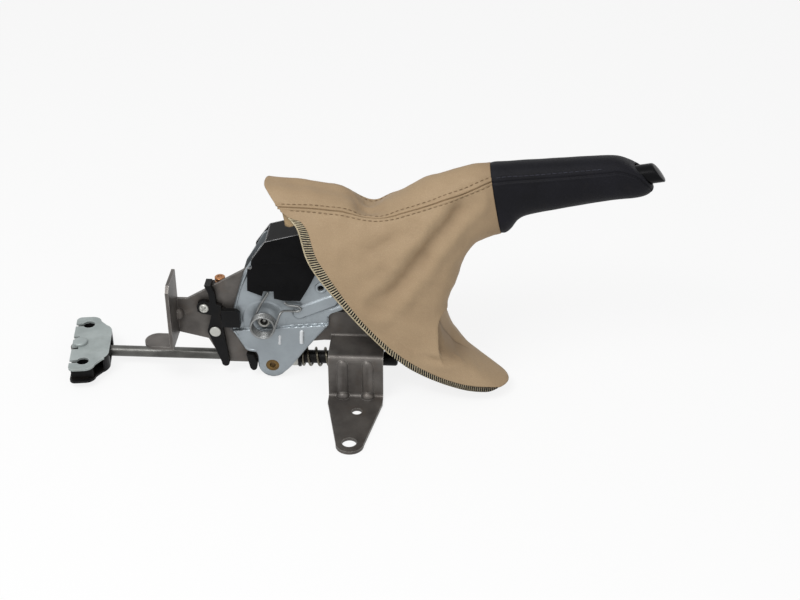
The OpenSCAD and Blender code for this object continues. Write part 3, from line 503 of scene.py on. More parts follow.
bootLeather = makeFinish(
    "bootLeather", "leather", base=(175, 152, 122), dark=(162, 139, 110), crease=(138, 114, 86),
    creaseShare=0.32, stain=(118, 98, 74), dirt=(118, 98, 74), stainShare=0.3, stainScale=38,
    cloudScale=14, grainScale=820, pores=0.35, rough=0.6, gloss=0.25, bump=0.22, dirtAmount=0.75,
    soiling=0.6)
bootLining = makeFinish(
    "bootLining", "leather", base=(182, 158, 122), dark=(158, 136, 104), crease=(138, 116, 86),
    creaseShare=0.25, stain=(110, 92, 70), dirt=(110, 92, 70), stainShare=0.4, stainScale=50,
    cloudScale=30, grainScale=1500, pores=0.9, rough=0.85, gloss=0.15, bump=0.4, dirtAmount=0.6)
brownThread, creamThread, gripThread, blackThread = (
    makeFinish(name, "thread", base=base, edge=base, dark=dark) for name, base, dark in (
        ("brownThread", (132, 110, 82), (108, 88, 64)), ("creamThread", (196, 184, 156), (158, 146, 120)),
        ("gripThread", (60, 61, 70), (46, 47, 54)), ("blackThread", (30, 30, 34), (20, 20, 23))))
print("finishes made")

# every CAD piece with softened edges; the shaped pieces further down take the place of the rest
bodyOf = {n: b for b, names in frame["record"]["behaviour"]["bodies"].items() for n in names}
softPieces = [  # finish, slot and how much each node's edges are rounded, in mm
    (bracketSteel, "bracket_steel", {"base_side_near": 0.6, "base_side_far": 0.6}),
    (plainSteel, "plain_steel", {
        "base_spacer_rear": 0.4, "base_spacer_front": 0.4, "sector_rivet": 0.5, "lever_tube": 0.5,
        "spring_seat_ring": 0.4, "release_rod": 0.4, "end_washer": 0.4}),
    (hardSteel, "hard_steel", {"ratchet_sector": 0.25, "pawl": 0.4}),
    (hardSteel, "pale_nut", {"switch_plunger": 0.4}),
    (blackRubber, "black_rubber", {"rest_bumper": 1.0}),
    (blackPlastic, "black_plastic", {
        "switch_carrier": 0.7, "switch_body": 0.7, "boot_collar": 0.8, "spring_seat": 0.5,
        "rod_end_cap": 1.0, "equalizer_insert_near": 0.6, "equalizer_insert_far": 0.6}),
    (zincPlate, "zinc_sheet", {"lever_cheek_far": 0.5, "lever_bridge": 0.5}),
    (coverPlastic, "cover_plastic", {"mechanism_cover": 0.9}),
    (yellowSteel, "yellow_steel", {"trunnion": 0.5}),
    (equalizerZinc, "equalizer_steel", {"equalizer_channel": 0.6}),
]
for finish, slotName, widths in softPieces:
    for node, width in widths.items():
        softCopy(node, width, finish)
channel = bpy.data.objects["equalizer_channel_soft"].data  # bare plate on top, black below it
channel.materials.append(blackPlastic)
plateUnder = -41.3
for face in channel.polygons:
    face.material_index = int((face.center[2] - pivot[2]) * 1000 < plateUnder)
cover = bpy.data.objects["mechanism_cover_soft"]  # its upper outer edge is rounded more than the rest
coverEdge = {"side": 16.3, "high": 72, "slope": 0.25, "round": 2.1, "restShare": 0.35}
coverMesh = cover.data
weights = coverMesh.attributes.new("bevel_weight_edge", "FLOAT", "EDGE")
corners = (np.array([v.co for v in coverMesh.vertices]) - pivot) * 1000
for edge in coverMesh.edges:
    pair = corners[list(edge.vertices)]
    above = pair[:, 2] > coverEdge["high"] + coverEdge["slope"] * pair[:, 0]
    upper = (np.abs(pair[:, 1]) > coverEdge["side"]).all() and above.all()
    weights.data[edge.index].value = 1.0 if upper else coverEdge["restShare"]
bevel = cover.modifiers["softEdges"]
bevel.limit_method = "WEIGHT"
bevel.width, bevel.segments = coverEdge["round"] / 1000, 4
print("softened pieces made")

# boot: guides run from the collar to the hem, eleven for the near half; the far half has slumped
boot = {
    "ring": [0, 24, 50, 64, 78, 94, 112, 130, 148, 164, 180],  # degrees round the collar
    "collarRise": 27.5, "collarDrop": 38, "collarHalf": 18, "thick": 1.6,
    "seam": 2, "stitchSide": 3.4, "stitch": (3.2, 1.5, 0.3),  # length, gap and radius
    "farSag": {1: [0, 0, 1, 2, 0, 0], 2: [0, 1, 4, 8, 4, 2], 3: [0, 1, 5, 8, 5, 4], 4: [0, 1, 4, 6, 5, 4],
               5: [0, 0, 2, 3, 3, 3]},
    "farBack": {7: [0, 0, 0, 0, 3, 6], 8: [0, 0, 1, 2, 8, 18], 9: [0, 0, 1, 3, 13, 35]},
    # each fold: guide and station of its points, depth and half width in mm
    "folds": [
        ([(2.9, 0.75), (4.45, 1.35), (5.3, 2.1), (5.8, 2.85), (5.85, 3.6), (5.75, 4.25), (5.65, 4.85)],
         4.6, 6.5),
        ([(3.7, 2.6), (3.85, 3.1), (4.0, 3.9), (4.15, 4.6)], 2.4, 6.5),
        ([(0.0, 5.55), (1.1, 5.55)], 1.6, 6.0),
        ([(1.0, 4.2), (1.6, 4.35), (2.25, 4.6)], 1.6, 5.0),
        ([(7.15, 5.4), (7.6, 5.3), (8.2, 5.2), (8.6, 5.1)], 1.6, 3.0),
        ([(15.0, 1.2), (14.8, 2.6), (14.6, 4.2)], 3.0, 8.0),
        ([(17.0, 2.6), (16.3, 3.8), (15.8, 4.8)], 2.4, 7.0),
        ([(12.5, 2.0), (12.0, 3.4), (11.6, 4.8)], 2.4, 6.0)],
    # front tuck: the near panel ends in a rounded edge over a recess, which rises again to a sharp crease
    "tuckEdge": [(9.03, 3.75), (8.75, 3.83), (8.38, 3.95), (8.22, 4.15), (8.1, 4.48), (8, 4.75), (7.88, 5),
                 (7.8, 5.3)],
    "tuckCrease": [(8.45, 3.97), (8.98, 4.12), (9.6, 4.6), (9.83, 4.98), (9.86, 5.3)],
    "tuckRamp": [(10.9, 5.3), (10.9, 4.0), (9.1, 3.74)], "tuckDeep": 4.8, "rampLong": 10,
    "tuckRise": (3.7, 4.05), "tuckFall": (4.85, 5.25), "shadeFall": (4.95, 5.35),  # stations
    "edgeSoft": 2.5, "edgeRoll": 1.2, "edgeWide": 4, "recessShade": 0.55, "creaseShade": 0.9,
    "creaseWide": 1.1,
}
nearGuides = [  # points below the collar, in mm
    [[165, 0, 145], [135, 0, 132], [110, 0, 116], [91, 0, 107.5], [66, 0, 122.5], [5, 0, 131]],
    [[168, -11, 142], [137, -12, 130], [111, -11, 115.5], [92, -9, 107], [68, -11, 122], [8, -12, 129.5]],
    [[170, -20, 132], [140, -24, 122], [114, -25, 113], [95, -23, 110], [68, -24, 116.5], [18, -23, 118.5]],
    [[171, -21.5, 126], [142, -28, 116], [117, -31, 107.5], [98, -31, 102], [69, -32, 104], [35, -35, 106]],
    [[172, -22, 119], [145, -30, 109], [119, -34.5, 98], [98, -38, 88], [72, -40.5, 82], [46, -43, 74]],
    [[174, -22, 109], [150, -31, 98], [126, -37, 84], [107, -41, 68], [86, -45, 52], [74, -47, 35]],
    [[176, -21, 100], [155, -30, 88], [135, -37, 70], [120, -43, 48], [110, -46, 25], [107, -49, -2]],
    [[179, -19, 92], [162, -28, 78], [147, -36, 57], [138, -42, 31], [136, -46, 4], [141, -48, -28]],
    [[182, -15, 86], [169, -24, 72], [159, -31, 51], [151, -38, 21], [157, -44, -9], [180, -47, -43]],
    [[186, -8, 82], [175, -14, 71], [168, -21, 52], [159, -26, 17], [173, -32, -17], [210, -36, -48]],
    [[187, 0, 81.5], [177, 0, 72], [171.5, 0, 53], [160, 0, 15.5], [173, -2, -21], [214, -9, -49.5]],
]
# strip sewn under the leather's edge: how far it shows, in mm, at each guide
hem = {
    "width": [(0, 0), (2.55, 0), (2.75, 8.5), (4.2, 8.8), (5, 6.2), (6.5, 5.6), (8.2, 5.2), (8.6, 4.2),
              (8.95, 0), (11.2, 0), (12, 4), (17, 4.5), (17.4, 0), (20, 0)],
    "runs": [(2.6, 8.88), (11.3, 17.3)], "hang": 3.2, "slant": 1.2, "cordRadius": 0.75, "cordTo": 6.2,
    "sink": 0.9, "margin": 1.5,
    "shares": [-0.25, 0, 0.25, 0.5, 0.75, 1.0],  # 0 on the leather's edge and 1 at the rim
    # share and height of the strip's section and of a thread over it
    "section": [(-0.2, 0.4), (0.5, 0.42), (0.96, 0.36), (1.02, 0), (0.96, -0.36), (0.5, -0.4), (-0.2, -0.4)],
    "lay": [(-0.05, 0.4), (0.1, 0.48), (0.5, 0.5), (0.9, 0.45), (1.03, 0.05)],
    # guide, gap between the threads and thread radius
    "threads": [(2.6, 1.9, 0.42), (4.2, 2.4, 0.55), (6.2, 2.7, 0.52), (7.2, 2, 0.36), (8, 1.8, 0.3),
                (8.9, 1.7, 0.15), (17.3, 2.4, 0.4)],
}
guideCount, lastStation = 20, 6
gripRise = math.radians(10.4)
gripStart = np.array([199.0, 0.0, 124.7])
gripAlong = np.array([math.cos(gripRise), 0, math.sin(gripRise)])
gripUp = np.array([-math.sin(gripRise), 0, math.cos(gripRise)])


def gripSpace(along, up, out):  # a place along, above and beside the grip's axis
    return gripStart + gripAlong * along + gripUp * up + np.array([0, out, 0])


def collarPoint(degrees):
    a = math.radians(degrees)
    up = math.cos(a) * (boot["collarRise"] if math.cos(a) > 0 else boot["collarDrop"])
    return gripSpace(-0.6, up, -boot["collarHalf"] * math.sin(a))


def bootGuides():
    guides = []
    for k in range(guideCount):
        half = min(k, guideCount - k)
        row = np.array(nearGuides[half], float)
        angle = boot["ring"][half]
        if k > half:
            row[:, 1] *= -1
            row[:, 2] -= boot["farSag"].get(half, [0] * lastStation)
            row[:, 0] -= boot["farBack"].get(half, [0] * lastStation)
            angle = -angle
        guides.append(np.vstack([collarPoint(angle), row]))
    return np.array(guides)


def bootGrid(us, vs):
    guides = bootGuides()
    stations = []
    for v in vs:
        i = min(int(v), lastStation - 1)
        a, b, c, d = (guides[:, min(max(i + k, 0), lastStation)] for k in (-1, 0, 1, 2))
        stations.append(spline(a, b, c, d, v - i))
    stations = np.array(stations)
    columns = []
    for u in us:
        i = int(math.floor(u))
        a, b, c, d = (stations[:, (i + k) % guideCount] for k in (-1, 0, 1, 2))
        columns.append(spline(a, b, c, d, u - i))
    return np.array(columns).transpose(1, 0, 2)  # station, guide, xyz


def guideStep(u, vs):  # mm from one guide to the next
    return np.linalg.norm(bootGrid([u + 0.05], vs) - bootGrid([u - 0.05], vs), axis=2)[:, 0] * 10


def bootNormals(grid):  # outward
    around = np.roll(grid, -1, axis=1) - np.roll(grid, 1, axis=1)
    down = np.gradient(grid, axis=0)
    normal = np.cross(down, around)
    return normal / np.linalg.norm(normal, axis=2, keepdims=True)


def alongGuides(us, rows):  # plain surface at each column's own stations
    fine = bootGrid(us, fineV)
    at = np.clip(rows / fineV[1], 0, len(fineV) - 1.001)
    low = at.astype(int)
    t = (at - low)[:, :, None]
    column = np.arange(len(us))[None, :]
    return fine[low, column] * (1 - t) + fine[low + 1, column] * t


def onGuides(points, count=24):  # guide and station pairs as a line in space
    return np.array([bootGrid([u], [v])[0, 0] for u, v in smoothPath(points, count)])


fineV = np.linspace(0, lastStation, 241)
seamLines = [boot["seam"], guideCount - boot["seam"]]
seamSteps = (0.01, 0.022, 0.04, 0.065, 0.095, 0.13, 0.17)  # closer columns beside a seam
seamExtra = [s + side * d for s in seamLines for side in (-1, 1) for d in seamSteps]
plainU = np.linspace(0, guideCount, 240, endpoint=False)
tuckFrom, tuckTo, tuckStep = 7.7, 10.2, 0.035  # the tuck has closer columns of its own
plainU = plainU[(plainU < tuckFrom - 0.02) | (plainU > tuckTo)]
bootU = np.concatenate([plainU, seamExtra, np.arange(tuckFrom, tuckTo, tuckStep)])
bootU = np.array(sorted(set(np.round(bootU, 3))))
bootV = np.linspace(0, lastStation, 151)
above, rim = bootGrid(bootU, [lastStation - 0.5, lastStation])
stationLong = np.linalg.norm(rim - above, axis=1) * 2
shown = np.interp(bootU, *zip(*hem["width"]))
leatherEnd = lastStation - shown / stationLong  # the station where each column stops
evenTo = 4  # rows after this station close up where the strip shows
rowsV = np.repeat(bootV[:, None], len(bootU), axis=1)
closed = evenTo + (rowsV - evenTo) * (leatherEnd[None, :] - evenTo) / (lastStation - evenTo)
rowsV = np.where(rowsV < evenTo, rowsV, closed)
bootBase = alongGuides(bootU, rowsV)
bootOut = bootNormals(bootBase)
shape = bootBase.shape
flatBase = bootBase.reshape(-1, 3)
lift = np.zeros(len(flatBase))
for points, depth, width in boot["folds"]:
    line = onGuides(points)
    away = distanceTo(flatBase, line)
    ends = np.minimum(*(np.linalg.norm(flatBase - end, axis=1) for end in (line[0], line[-1])))
    fade = 0.2 + 0.8 * ease(ends / (3 * width))
    ridge, valley = np.exp(-((away - 2.1 * width) / width) ** 2), np.exp(-(away / width) ** 2)
    lift += fade * depth * (0.4 * ridge - valley)
toEdge, toCrease = (distanceTo(flatBase, onGuides(boot[name])) for name in ("tuckEdge", "tuckCrease"))
places = np.column_stack([np.tile(bootU, len(bootV)), rowsV.ravel()])
edgeRow, creaseRow = smoothPath(boot["tuckEdge"], 24), smoothPath(boot["tuckCrease"], 24)
recess = inside(places, np.vstack([edgeRow, creaseRow[::-1]]))
ramp = inside(places, np.vstack([creaseRow, boot["tuckRamp"]])) & ~recess
rise, fall, shadeFall = (between(places[:, 1], *boot[name]) for name in ("tuckRise", "tuckFall", "shadeFall"))
deep = boot["tuckDeep"] * rise * (1 - fall)
slope = np.where(recess, 1, ramp * np.clip(1 - toCrease / boot["rampLong"], 0, 1))
lift -= deep * ease(toEdge / boot["edgeSoft"]) * slope
shaded = boot["recessShade"] * recess * ease(toEdge / boot["edgeSoft"])  # painted shade in the tuck's recess
# painted shade line along the tuck's crease
shaded += boot["creaseShade"] * np.exp(-(toCrease / boot["creaseWide"]) ** 2)
shaded *= 1 - shadeFall
lift += boot["edgeRoll"] * np.exp(-(toEdge / boot["edgeWide"]) ** 2) * ~(recess | ramp)
for waves, amount in (((0.061, 0.043, 0.052), 0.5), ((0.13, 0.11, 0.09), 0.22), ((0.27, 0.21, 0.24), 0.07)):
    ripple = np.sin(flatBase[:, 2] * waves[1] * 2.7 - flatBase[:, 0] * waves[2])
    lift += amount * np.sin(flatBase @ np.array(waves) * 2 + 1.3) * ripple
lift = lift.reshape(shape[:2])
lift *= ease(bootV / 0.5)[:, None] * (0.35 + 0.65 * ease((lastStation - bootV) / 0.5))[:, None]
for s in seamLines:  # the panels puff on both sides of the seam and are held down by the stitches
    away = np.abs(bootU[None, :] - s) * guideStep(s, bootV)[:, None]
    groove = -1.0 * np.exp(-(away / 0.4) ** 2)
    puff = 0.6 * np.exp(-((away - 1.5) / 1.0) ** 2)
    held = -0.35 * np.exp(-((away - boot["stitchSide"]) / 0.7) ** 2)
    lift += groove + puff + held
bootSurface = bootBase + bootOut * lift[:, :, None]
bootOut = bootNormals(bootSurface)
bootShape = bootSurface.reshape(-1, 3), gridFaces(len(bootV), len(bootU))
bootPiece = addPiece("boot_leather", bootShape, [bootLeather, bootLining], "lever", ["boot"])
# darker near the collar, and painted shade in the fold valleys
soiling = 0.55 * np.exp(-(bootV / 0.5) ** 2)[:, None] + 0.35 * np.clip(-lift / 5, 0, 1)
soiling += shaded.reshape(shape[:2])  # painted shade in the tuck's recess and along its crease
bootPiece.data.attributes.new("soiling", "FLOAT", "POINT").data.foreach_set("value", soiling.ravel())
skin = bootPiece.modifiers.new("leatherThickness", "SOLIDIFY")
skin.thickness = boot["thick"] / 1000
skin.offset = -1
skin.material_offset = 1
skin.material_offset_rim = 0


def blend(grid, k, i, j, w, t):  # between rows k and k + 1 and columns i and j
    low = grid[k, i] * (1 - t) + grid[k, j] * t
    high = grid[k + 1, i] * (1 - t) + grid[k + 1, j] * t
    return low * (1 - w) + high * w


def onBoot(u, v):  # point and outward normal on the finished leather
    i = np.searchsorted(bootU, u, side="right") - 1
    j = (i + 1) % len(bootU)
    t = (u - bootU[i]) / ((bootU[j] - bootU[i]) % guideCount)
    k = min(int(np.searchsorted(bootV, v, side="right") - 1), len(bootV) - 2)
    w = (v - bootV[k]) / (bootV[k + 1] - bootV[k])
    return [blend(grid, k, i, j, w, t) for grid in (bootSurface, bootOut)]


def stitchRow(path, normals, length, gap, radius, sink=0.15):  # short threads lying along a path
    path, normals = np.array(path), np.array(normals)
    run = runAlong(path)
    parts = []
    at = gap
    while at + length < run[-1]:
        threads = []
        for t, high in ((0, -0.35), (0.2, 0.1), (0.5, 0.25), (0.8, 0.1), (1, -0.35)):
            d = at + length * t
            p, n = (np.array([np.interp(d, run, row) for row in rows.T]) for rows in (path, normals))
            threads.append(p + unit(n) * (high - sink + radius * 0.6))
        parts.append(tube(threads, radius, 6))
        at += length + gap
    return parts


stitchParts = []
for s in seamLines:
    for side in (-1, 1):
        path, normals = zip(*[onBoot(s + side * boot["stitchSide"] / guideStep(s, [v])[0], v)
                              for v in np.linspace(0.04, 5.88, 240)])
        stitchParts += stitchRow(path, normals, *boot["stitch"])
bootStitches = addPiece("boot_stitches", joined(stitchParts), [brownThread], "lever")


# hem: a black woven strip under the leather's edge with pale overcast threads and a cord on its upper run
def onStrip(strip, out, where, share, high):
    shares = hem["shares"]
    i = int(np.clip(where, 0, len(out) - 2))
    k = int(np.clip(np.searchsorted(shares, share, side="right") - 1, 0, len(shares) - 2))
    w = (share - shares[k]) / (shares[k + 1] - shares[k])
    return blend(strip, k, i, i + 1, w, where - i) + out[i] * high


stripParts, threadParts = [], []
shares = np.array(hem["shares"])[:, None]
for first, last in hem["runs"]:
    us = np.linspace(first, last, int((last - first) * 30))
    edge, out = (np.array(rows) for rows in zip(*[onBoot(u, lastStation) for u in us]))
    ends = np.interp(us, bootU, leatherEnd)
    plain = alongGuides(us, ends + (lastStation - ends) * shares)
    curl = 0.08 * np.interp(us, *zip(*hem["width"])) * ease((us - 4.5) / 3)
    sunk = hem["sink"] + curl * np.clip(shares, 0, 1)
    strip = plain + (edge - plain[1]) - out * sunk[:, :, None]
    hang = hem["hang"] * ease((us - 5.6) / 1.2) * ease((9 - us) / 0.5)
    strip[:, :, 2] -= hang * np.clip(shares, 0, 1)
    index = np.arange(len(us))
    points = [onStrip(strip, out, i, share, high) for i in index for share, high in hem["section"]]
    wide = len(hem["section"])
    stripParts.append((points, gridFaces(len(us), wide) + endCaps(len(points), wide)))
    rim = np.array([onStrip(strip, out, i, 1.0, 0.0) for i in index])
    run = runAlong(rim)
    if first < hem["cordTo"]:
        threadParts.append(tube(rim[us < hem["cordTo"]], hem["cordRadius"], 8))
    at = hem["margin"]
    guide, gaps, radii = zip(*hem["threads"])
    while at < run[-1] - hem["margin"]:
        path = [onStrip(strip, out, np.interp(at + hem["slant"] * (0.5 - share), run, index), share, high)
                for share, high in hem["lay"]]
        place = np.interp(at, run, us)
        threadParts.append(tube(path, np.interp(place, guide, radii), 6, False))
        at += np.interp(place, guide, gaps)
hemStrip = addPiece("boot_hem_strip", joined(stripParts), [blackThread], "lever")
hemThreads = addPiece("boot_hem_threads", joined(threadParts), [creamThread], "lever")

# tongue of lining that hangs below the rear rim
flap = {"top": [(20.5, -20, 115), (27, -24.5, 115), (33.5, -27.5, 112.5)],
        "low": [(23.6, -21, 99.5), (28, -25.5, 101), (33.2, -30, 106)],
        "bulge": 1.2, "thick": 1.4, "rows": 9, "columns": 14}
high, low = smoothPath(flap["top"], flap["columns"]), smoothPath(flap["low"], flap["columns"])
points = [a * (1 - t) + b * t + np.array([0, flap["bulge"] * math.sin(math.pi * t), 0])
          for t in np.linspace(0, 1, flap["rows"]) for a, b in zip(high, low)]
flapShape = points, gridFaces(flap["rows"], flap["columns"], False)
rearFlap = addPiece("boot_rear_flap", flapShape, [bootLining], "lever")
rearFlap.modifiers.new("leatherThickness", "SOLIDIFY").thickness = flap["thick"] / 1000
print("boot made")

# grip: rows are distance along the axis at the top and at the bottom, rise, depth and half width
grip = {
    "rows": [[-0.8, -0.8, 26.4, 36.4, 16.6], [0, 0, 26.8, 37, 17], [4, 4, 27.1, 37, 17.2],
        [9, 9, 26.6, 33.5, 16.8], [16, 16, 26, 26, 16.2], [25, 25, 25.4, 22.8, 16],
        [41, 41, 23.8, 21.6, 16], [72, 72, 21, 20.2, 15.5], [92, 92, 19, 19.8, 15],
        [101, 104, 17.6, 20.2, 14.6], [106, 113, 15.8, 20.8, 14.2], [110, 120, 13.4, 20.6, 13.6],
        [113, 125.5, 11.2, 19, 12.8], [115, 128.6, 9.2, 16.4, 11.8], [116.2, 129.8, 8.2, 13.5, 10.8],
        [116.4, 129.8, 7.4, 11.6, 9.4], [114.5, 128, 7, 10.8, 8.9], [108, 119, 7, 10.8, 8.9]],
    "sides": 168, "square": 2.25,
    "seam": [(0, 16.6), (31, 14.2), (62, 12), (93, 10), (100, 9.8), (107, 8), (116, 3.2), (122.5, -4),
             (128, -13.5)],
    "stitchRise": 3.6, "stitchEnd": 94, "seamDepth": 0.9,
    "stitch": (3.1, 1.5, 0.4, 0.1),  # length, gap, radius and sink
}


def gripPoint(row, turn):  # turn 0 is the top, a quarter is the far side
    c, s = math.cos(turn), math.sin(turn)
    power = 2 / grip["square"]
    up = math.copysign(abs(c) ** power, c) * (row[2] if c > 0 else row[3])
    out = math.copysign(abs(s) ** power, s) * row[4]
    along = row[0] + (row[1] - row[0]) * (1 - c) / 2
    return gripSpace(along, up, out), along, up


gripRows = smoothPath(grip["rows"], 150)
turns = [2 * math.pi * j / grip["sides"] for j in range(grip["sides"])]
gripMade = [[gripPoint(row, t) for t in turns] for row in gripRows]
gripMesh = np.array([[m[0] for m in row] for row in gripMade])
gripAt = np.array([[(m[1], m[2]) for m in row] for row in gripMade])
seamPath = smoothPath(grip["seam"], 60)
around = np.roll(gripMesh, -1, axis=1) - np.roll(gripMesh, 1, axis=1)
gripOut = np.cross(around, np.gradient(gripMesh, axis=0))
gripOut /= np.linalg.norm(gripOut, axis=2, keepdims=True) + 1e-9
middle = gripMesh.mean(1, keepdims=True)
if (gripOut[60] * (gripMesh[60] - middle[60])).sum() < 0:
    gripOut = -gripOut
seamAway = distanceTo(gripAt.reshape(-1, 2), seamPath).reshape(gripAt.shape[:2])
outside = np.arange(len(gripRows)) < len(gripRows) * 14.4 / 17  # not down inside the button's hole
above = gripAt[:, :, 1] - np.interp(gripAt[:, :, 0], seamPath[:, 0], seamPath[:, 1])
lift = 0.5 * np.exp(-((seamAway - 1.7) / 1.1) ** 2) * (above < 0)  # the lower panel puffs
lift -= grip["seamDepth"] * np.exp(-(seamAway / 0.7) ** 2)
lift += 0.06 * np.sin(gripAt[:, :, 0] * 0.31 + gripAt[:, :, 1] * 0.2) * np.sin(gripAt[:, :, 1] * 0.37)
lift *= outside[:, None]
gripMesh = gripMesh + gripOut * lift[:, :, None]
gripFaces = gridFaces(len(gripRows), grip["sides"])
gripFaces.append(tuple(range(grip["sides"])))
gripShape = gripMesh.reshape(-1, 3), gripFaces
addPiece("grip_leather", gripShape, [gripLeather], "lever", ["grip"])
stitchParts = []
for side in (-1, 1):
    path, normals = [], []
    for along, high in [p for p in smoothPath(grip["seam"], 120) if 2 < p[0] < grip["stitchEnd"]]:
        target = np.array([along, high + grip["stitchRise"]])
        shown = (gripMesh[:, :, 1] * side > 0) & outside[:, None]
        near = np.where(shown, np.linalg.norm(gripAt - target, axis=2), 1e9)
        i, j = np.unravel_index(near.argmin(), near.shape)
        path.append(gripMesh[i, j])
        normals.append(gripOut[i, j])
    path = smoothPath(path[::6], 80)
    normals = smoothPath(normals[::6], 80)
    stitchParts += stitchRow(path, normals, *grip["stitch"])
addPiece("grip_stitches", joined(stitchParts), [gripThread], "lever")
print("grip made")

# release button: a round plunger with a slanted, softly domed end
button = {"radius": 8.5, "backRadius": 8.1, "drop": 1.9, "back": 104, "face": 136, "slant": 30,
          "fillet": 1.6, "dome": 0.7, "sides": 64}
shoulder, inner = button["face"] - button["fillet"], button["radius"] - button["fillet"]
rows = [(button["back"], button["backRadius"], 0), (button["back"] + 0.4, button["radius"], 0)]
rows += [(button["back"] + (shoulder - button["back"]) * t, button["radius"], t)
         for t in np.linspace(0.1, 1, 12)]
rows += [(shoulder + button["fillet"] * math.sin(a), inner + button["fillet"] * math.cos(a), 1)
         for a in np.linspace(0.15, 1, 6) * math.pi / 2]
rows += [(button["face"] + button["dome"] * (1 - t ** 2), inner * t, 1) for t in (0.75, 0.5, 0.25, 0.02)]
lean = gripAlong * math.tan(math.radians(button["slant"]))
rings = [(gripSpace(along, -button["drop"], 0), gripUp - lean * share, (0, 1, 0), radius)
         for along, radius, share in rows]
addPiece("release_button_shaped", ringMesh(rings, button["sides"]), [buttonPlastic], "button",
         ["release_button"])

# springs
torsion = {"radius": 10.3, "wire": 1.05, "turns": 4.55, "pitch": 2.14, "y": -17.8, "start": 150}
coil = []
for t in np.linspace(0, 1, 190):
    a = math.radians(torsion["start"] + t * 360 * torsion["turns"])
    coil.append((torsion["radius"] * math.cos(a), torsion["y"] - t * torsion["turns"] * torsion["pitch"],
                 torsion["radius"] * math.sin(a)))
legY, hairY = coil[-1][1], -16.1
legIn = [(4.5, -14.8, 28.6), (0.9, -15.9, 22.6), (-2.6, -16.9, 16.6)]
legOut = [(13.2, legY + 1, 7), (15.4, legY + 3.5, 12.6), (17.8, legY + 6, 14.6), (22, legY + 8.6, 13.6),
    (27, hairY - 0.6, 12), (30.4, hairY - 0.2, 11.8), (32.6, hairY, 13), (32.8, hairY, 15),
    (31, hairY, 16.6), (28, hairY, 17), (22.5, hairY, 17.6), (19.4, hairY, 19.6)]
legIn, legOut = smoothPath(legIn + coil[4:5], 14), smoothPath(coil[-4:-3] + legOut, 70)
path = np.vstack([legIn[:-1], coil[4:-4], legOut[1:]])
addPiece("pawl_spring_wire", tube(path, torsion["wire"], 14), [springSteel], "lever",
         ["pawl_spring"])

rodZ, rodX, eyeX = -46.5, 5.5, -172.0  # the rod's axis, its trunnion and its eye
tension = {"radius": 7.9, "wire": 1.1, "turns": 6, "start": 40, "from": 25.6, "to": 64.9, "closed": 0.75}
tensionLong = tension["to"] - tension["from"]
flat = 2 * tension["wire"] * tension["closed"] / tensionLong
path = []
for t in np.linspace(0, 1, 200):
    a = math.radians(tension["start"] + t * 360 * tension["turns"])
    share = np.interp(t, [0, 0.14, 0.86, 1], [0, flat, 1 - flat, 1])  # closed end turns
    path.append((rodX + tension["from"] + tensionLong * share, tension["radius"] * math.cos(a),
                 rodZ + tension["radius"] * math.sin(a)))
addPiece("tension_spring_wire", tube(path, tension["wire"], 12), [darkSpring], "rod",
         ["tension_spring"])
push = {"from": 73, "long": 30, "radius": 5.3, "turns": 8, "wire": 0.7}
path = []
for t in np.linspace(0, 1, 160):
    a = t * 2 * push["turns"] * math.pi
    path.append(gripSpace(push["from"] + push["long"] * t, push["radius"] * math.cos(a),
                          push["radius"] * math.sin(a)))
spring = addPiece("button_spring_wire", tube(path, push["wire"], 8), [springSteel], "button",
                  ["button_spring"])
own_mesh(spring)
print("springs made")

# near cheek: pressed sheet with a joggle, a rib, two beads, a stiffened lower edge and rolled rims
cheek = {
    "outer": 13.0, "thick": 2.5, "gap": 0.8, "step": 3.0, "stepWide": 1.1, "stepFrom": (-30, -11),
    "stepTo": (57, -2),
    "corners": [(-31, -5, 7), (-28, 8.2, 20), (-16.4, 47, 6), (-13.5, 51.5, 5), (0, 74, 5), (4, 77, 5),
        (60, 91, 20), (100, 100, 10), (130, 113, 3), (134, 96, 4), (118, 74, 14), (98, 46, 14),
        (78, 22, 10), (70, 13.5, 9), (57, 8.5, 8), (57, -2, 8), (55.3, -5.2, 3), (41.7, -21.3, 14),
        (21.5, -49, 6)],
    "lobe": (5.5, -46.5, 13), "tail": [(-7.6, -37, 3), (-9.2, -33.2, 3), (-15, -32.4, 4), (-18, -30.4, 5),
        (-24.4, -18, 12), (-27.2, -13.6, 6), (-30.8, -9.8, 4)],
    "pad": 19.5, "padHigh": 0.35, "roll": 2.4, "flangeRise": (52, 60), "flangeFall": (112, 92),
    "holes": [(0, 0, 5.3), (5.5, -46.5, 5.95), (51, 34.4, 4)],
    # raised lines: points, height, half width and softness
    "rib": ([(31, 8.3), (60.2, 21.3)], 1.9, 6.1, 1.5),
    "beads": [([(13.3, -15), (12.9, -23)], 1.2, 1.4, 1.2), ([(32.9, -9.5), (32.4, -21)], 1.2, 2.0, 1.2)],
    "lip": (smoothPath([(-13, 48.5), (-20.6, 30), (-25.8, 10), (-29.2, -3.5), (-28.6, -8.4), (-25, -14),
                        (-20.2, -25), (-15.6, -30.2), (-9.4, -31.2)], 60), 1.0, 1.5, 0.9),
    "flange": ([(57, 8.5), (70, 13.5), (78, 22), (98, 46), (112, 65)], 1.6, 4.4, 1.8),
}
lobeX, lobeZ, lobeRadius = cheek["lobe"]
lobeArc = [(lobeX + lobeRadius * math.cos(a), lobeZ + lobeRadius * math.sin(a), 1)
           for a in np.radians(np.linspace(-38, -180, 16))]
cheekOutline = rounded(cheek["corners"] + lobeArc + cheek["tail"])


def circle(x, z, radius, count=40):
    return np.array([(x + radius * math.cos(a), z + radius * math.sin(a))
                     for a in np.linspace(0, 2 * math.pi, count, endpoint=False)])


def raised(flat, line, high, half, soft):
    return high * ease((half - distanceTo(flat, np.array(line, float))) / soft)


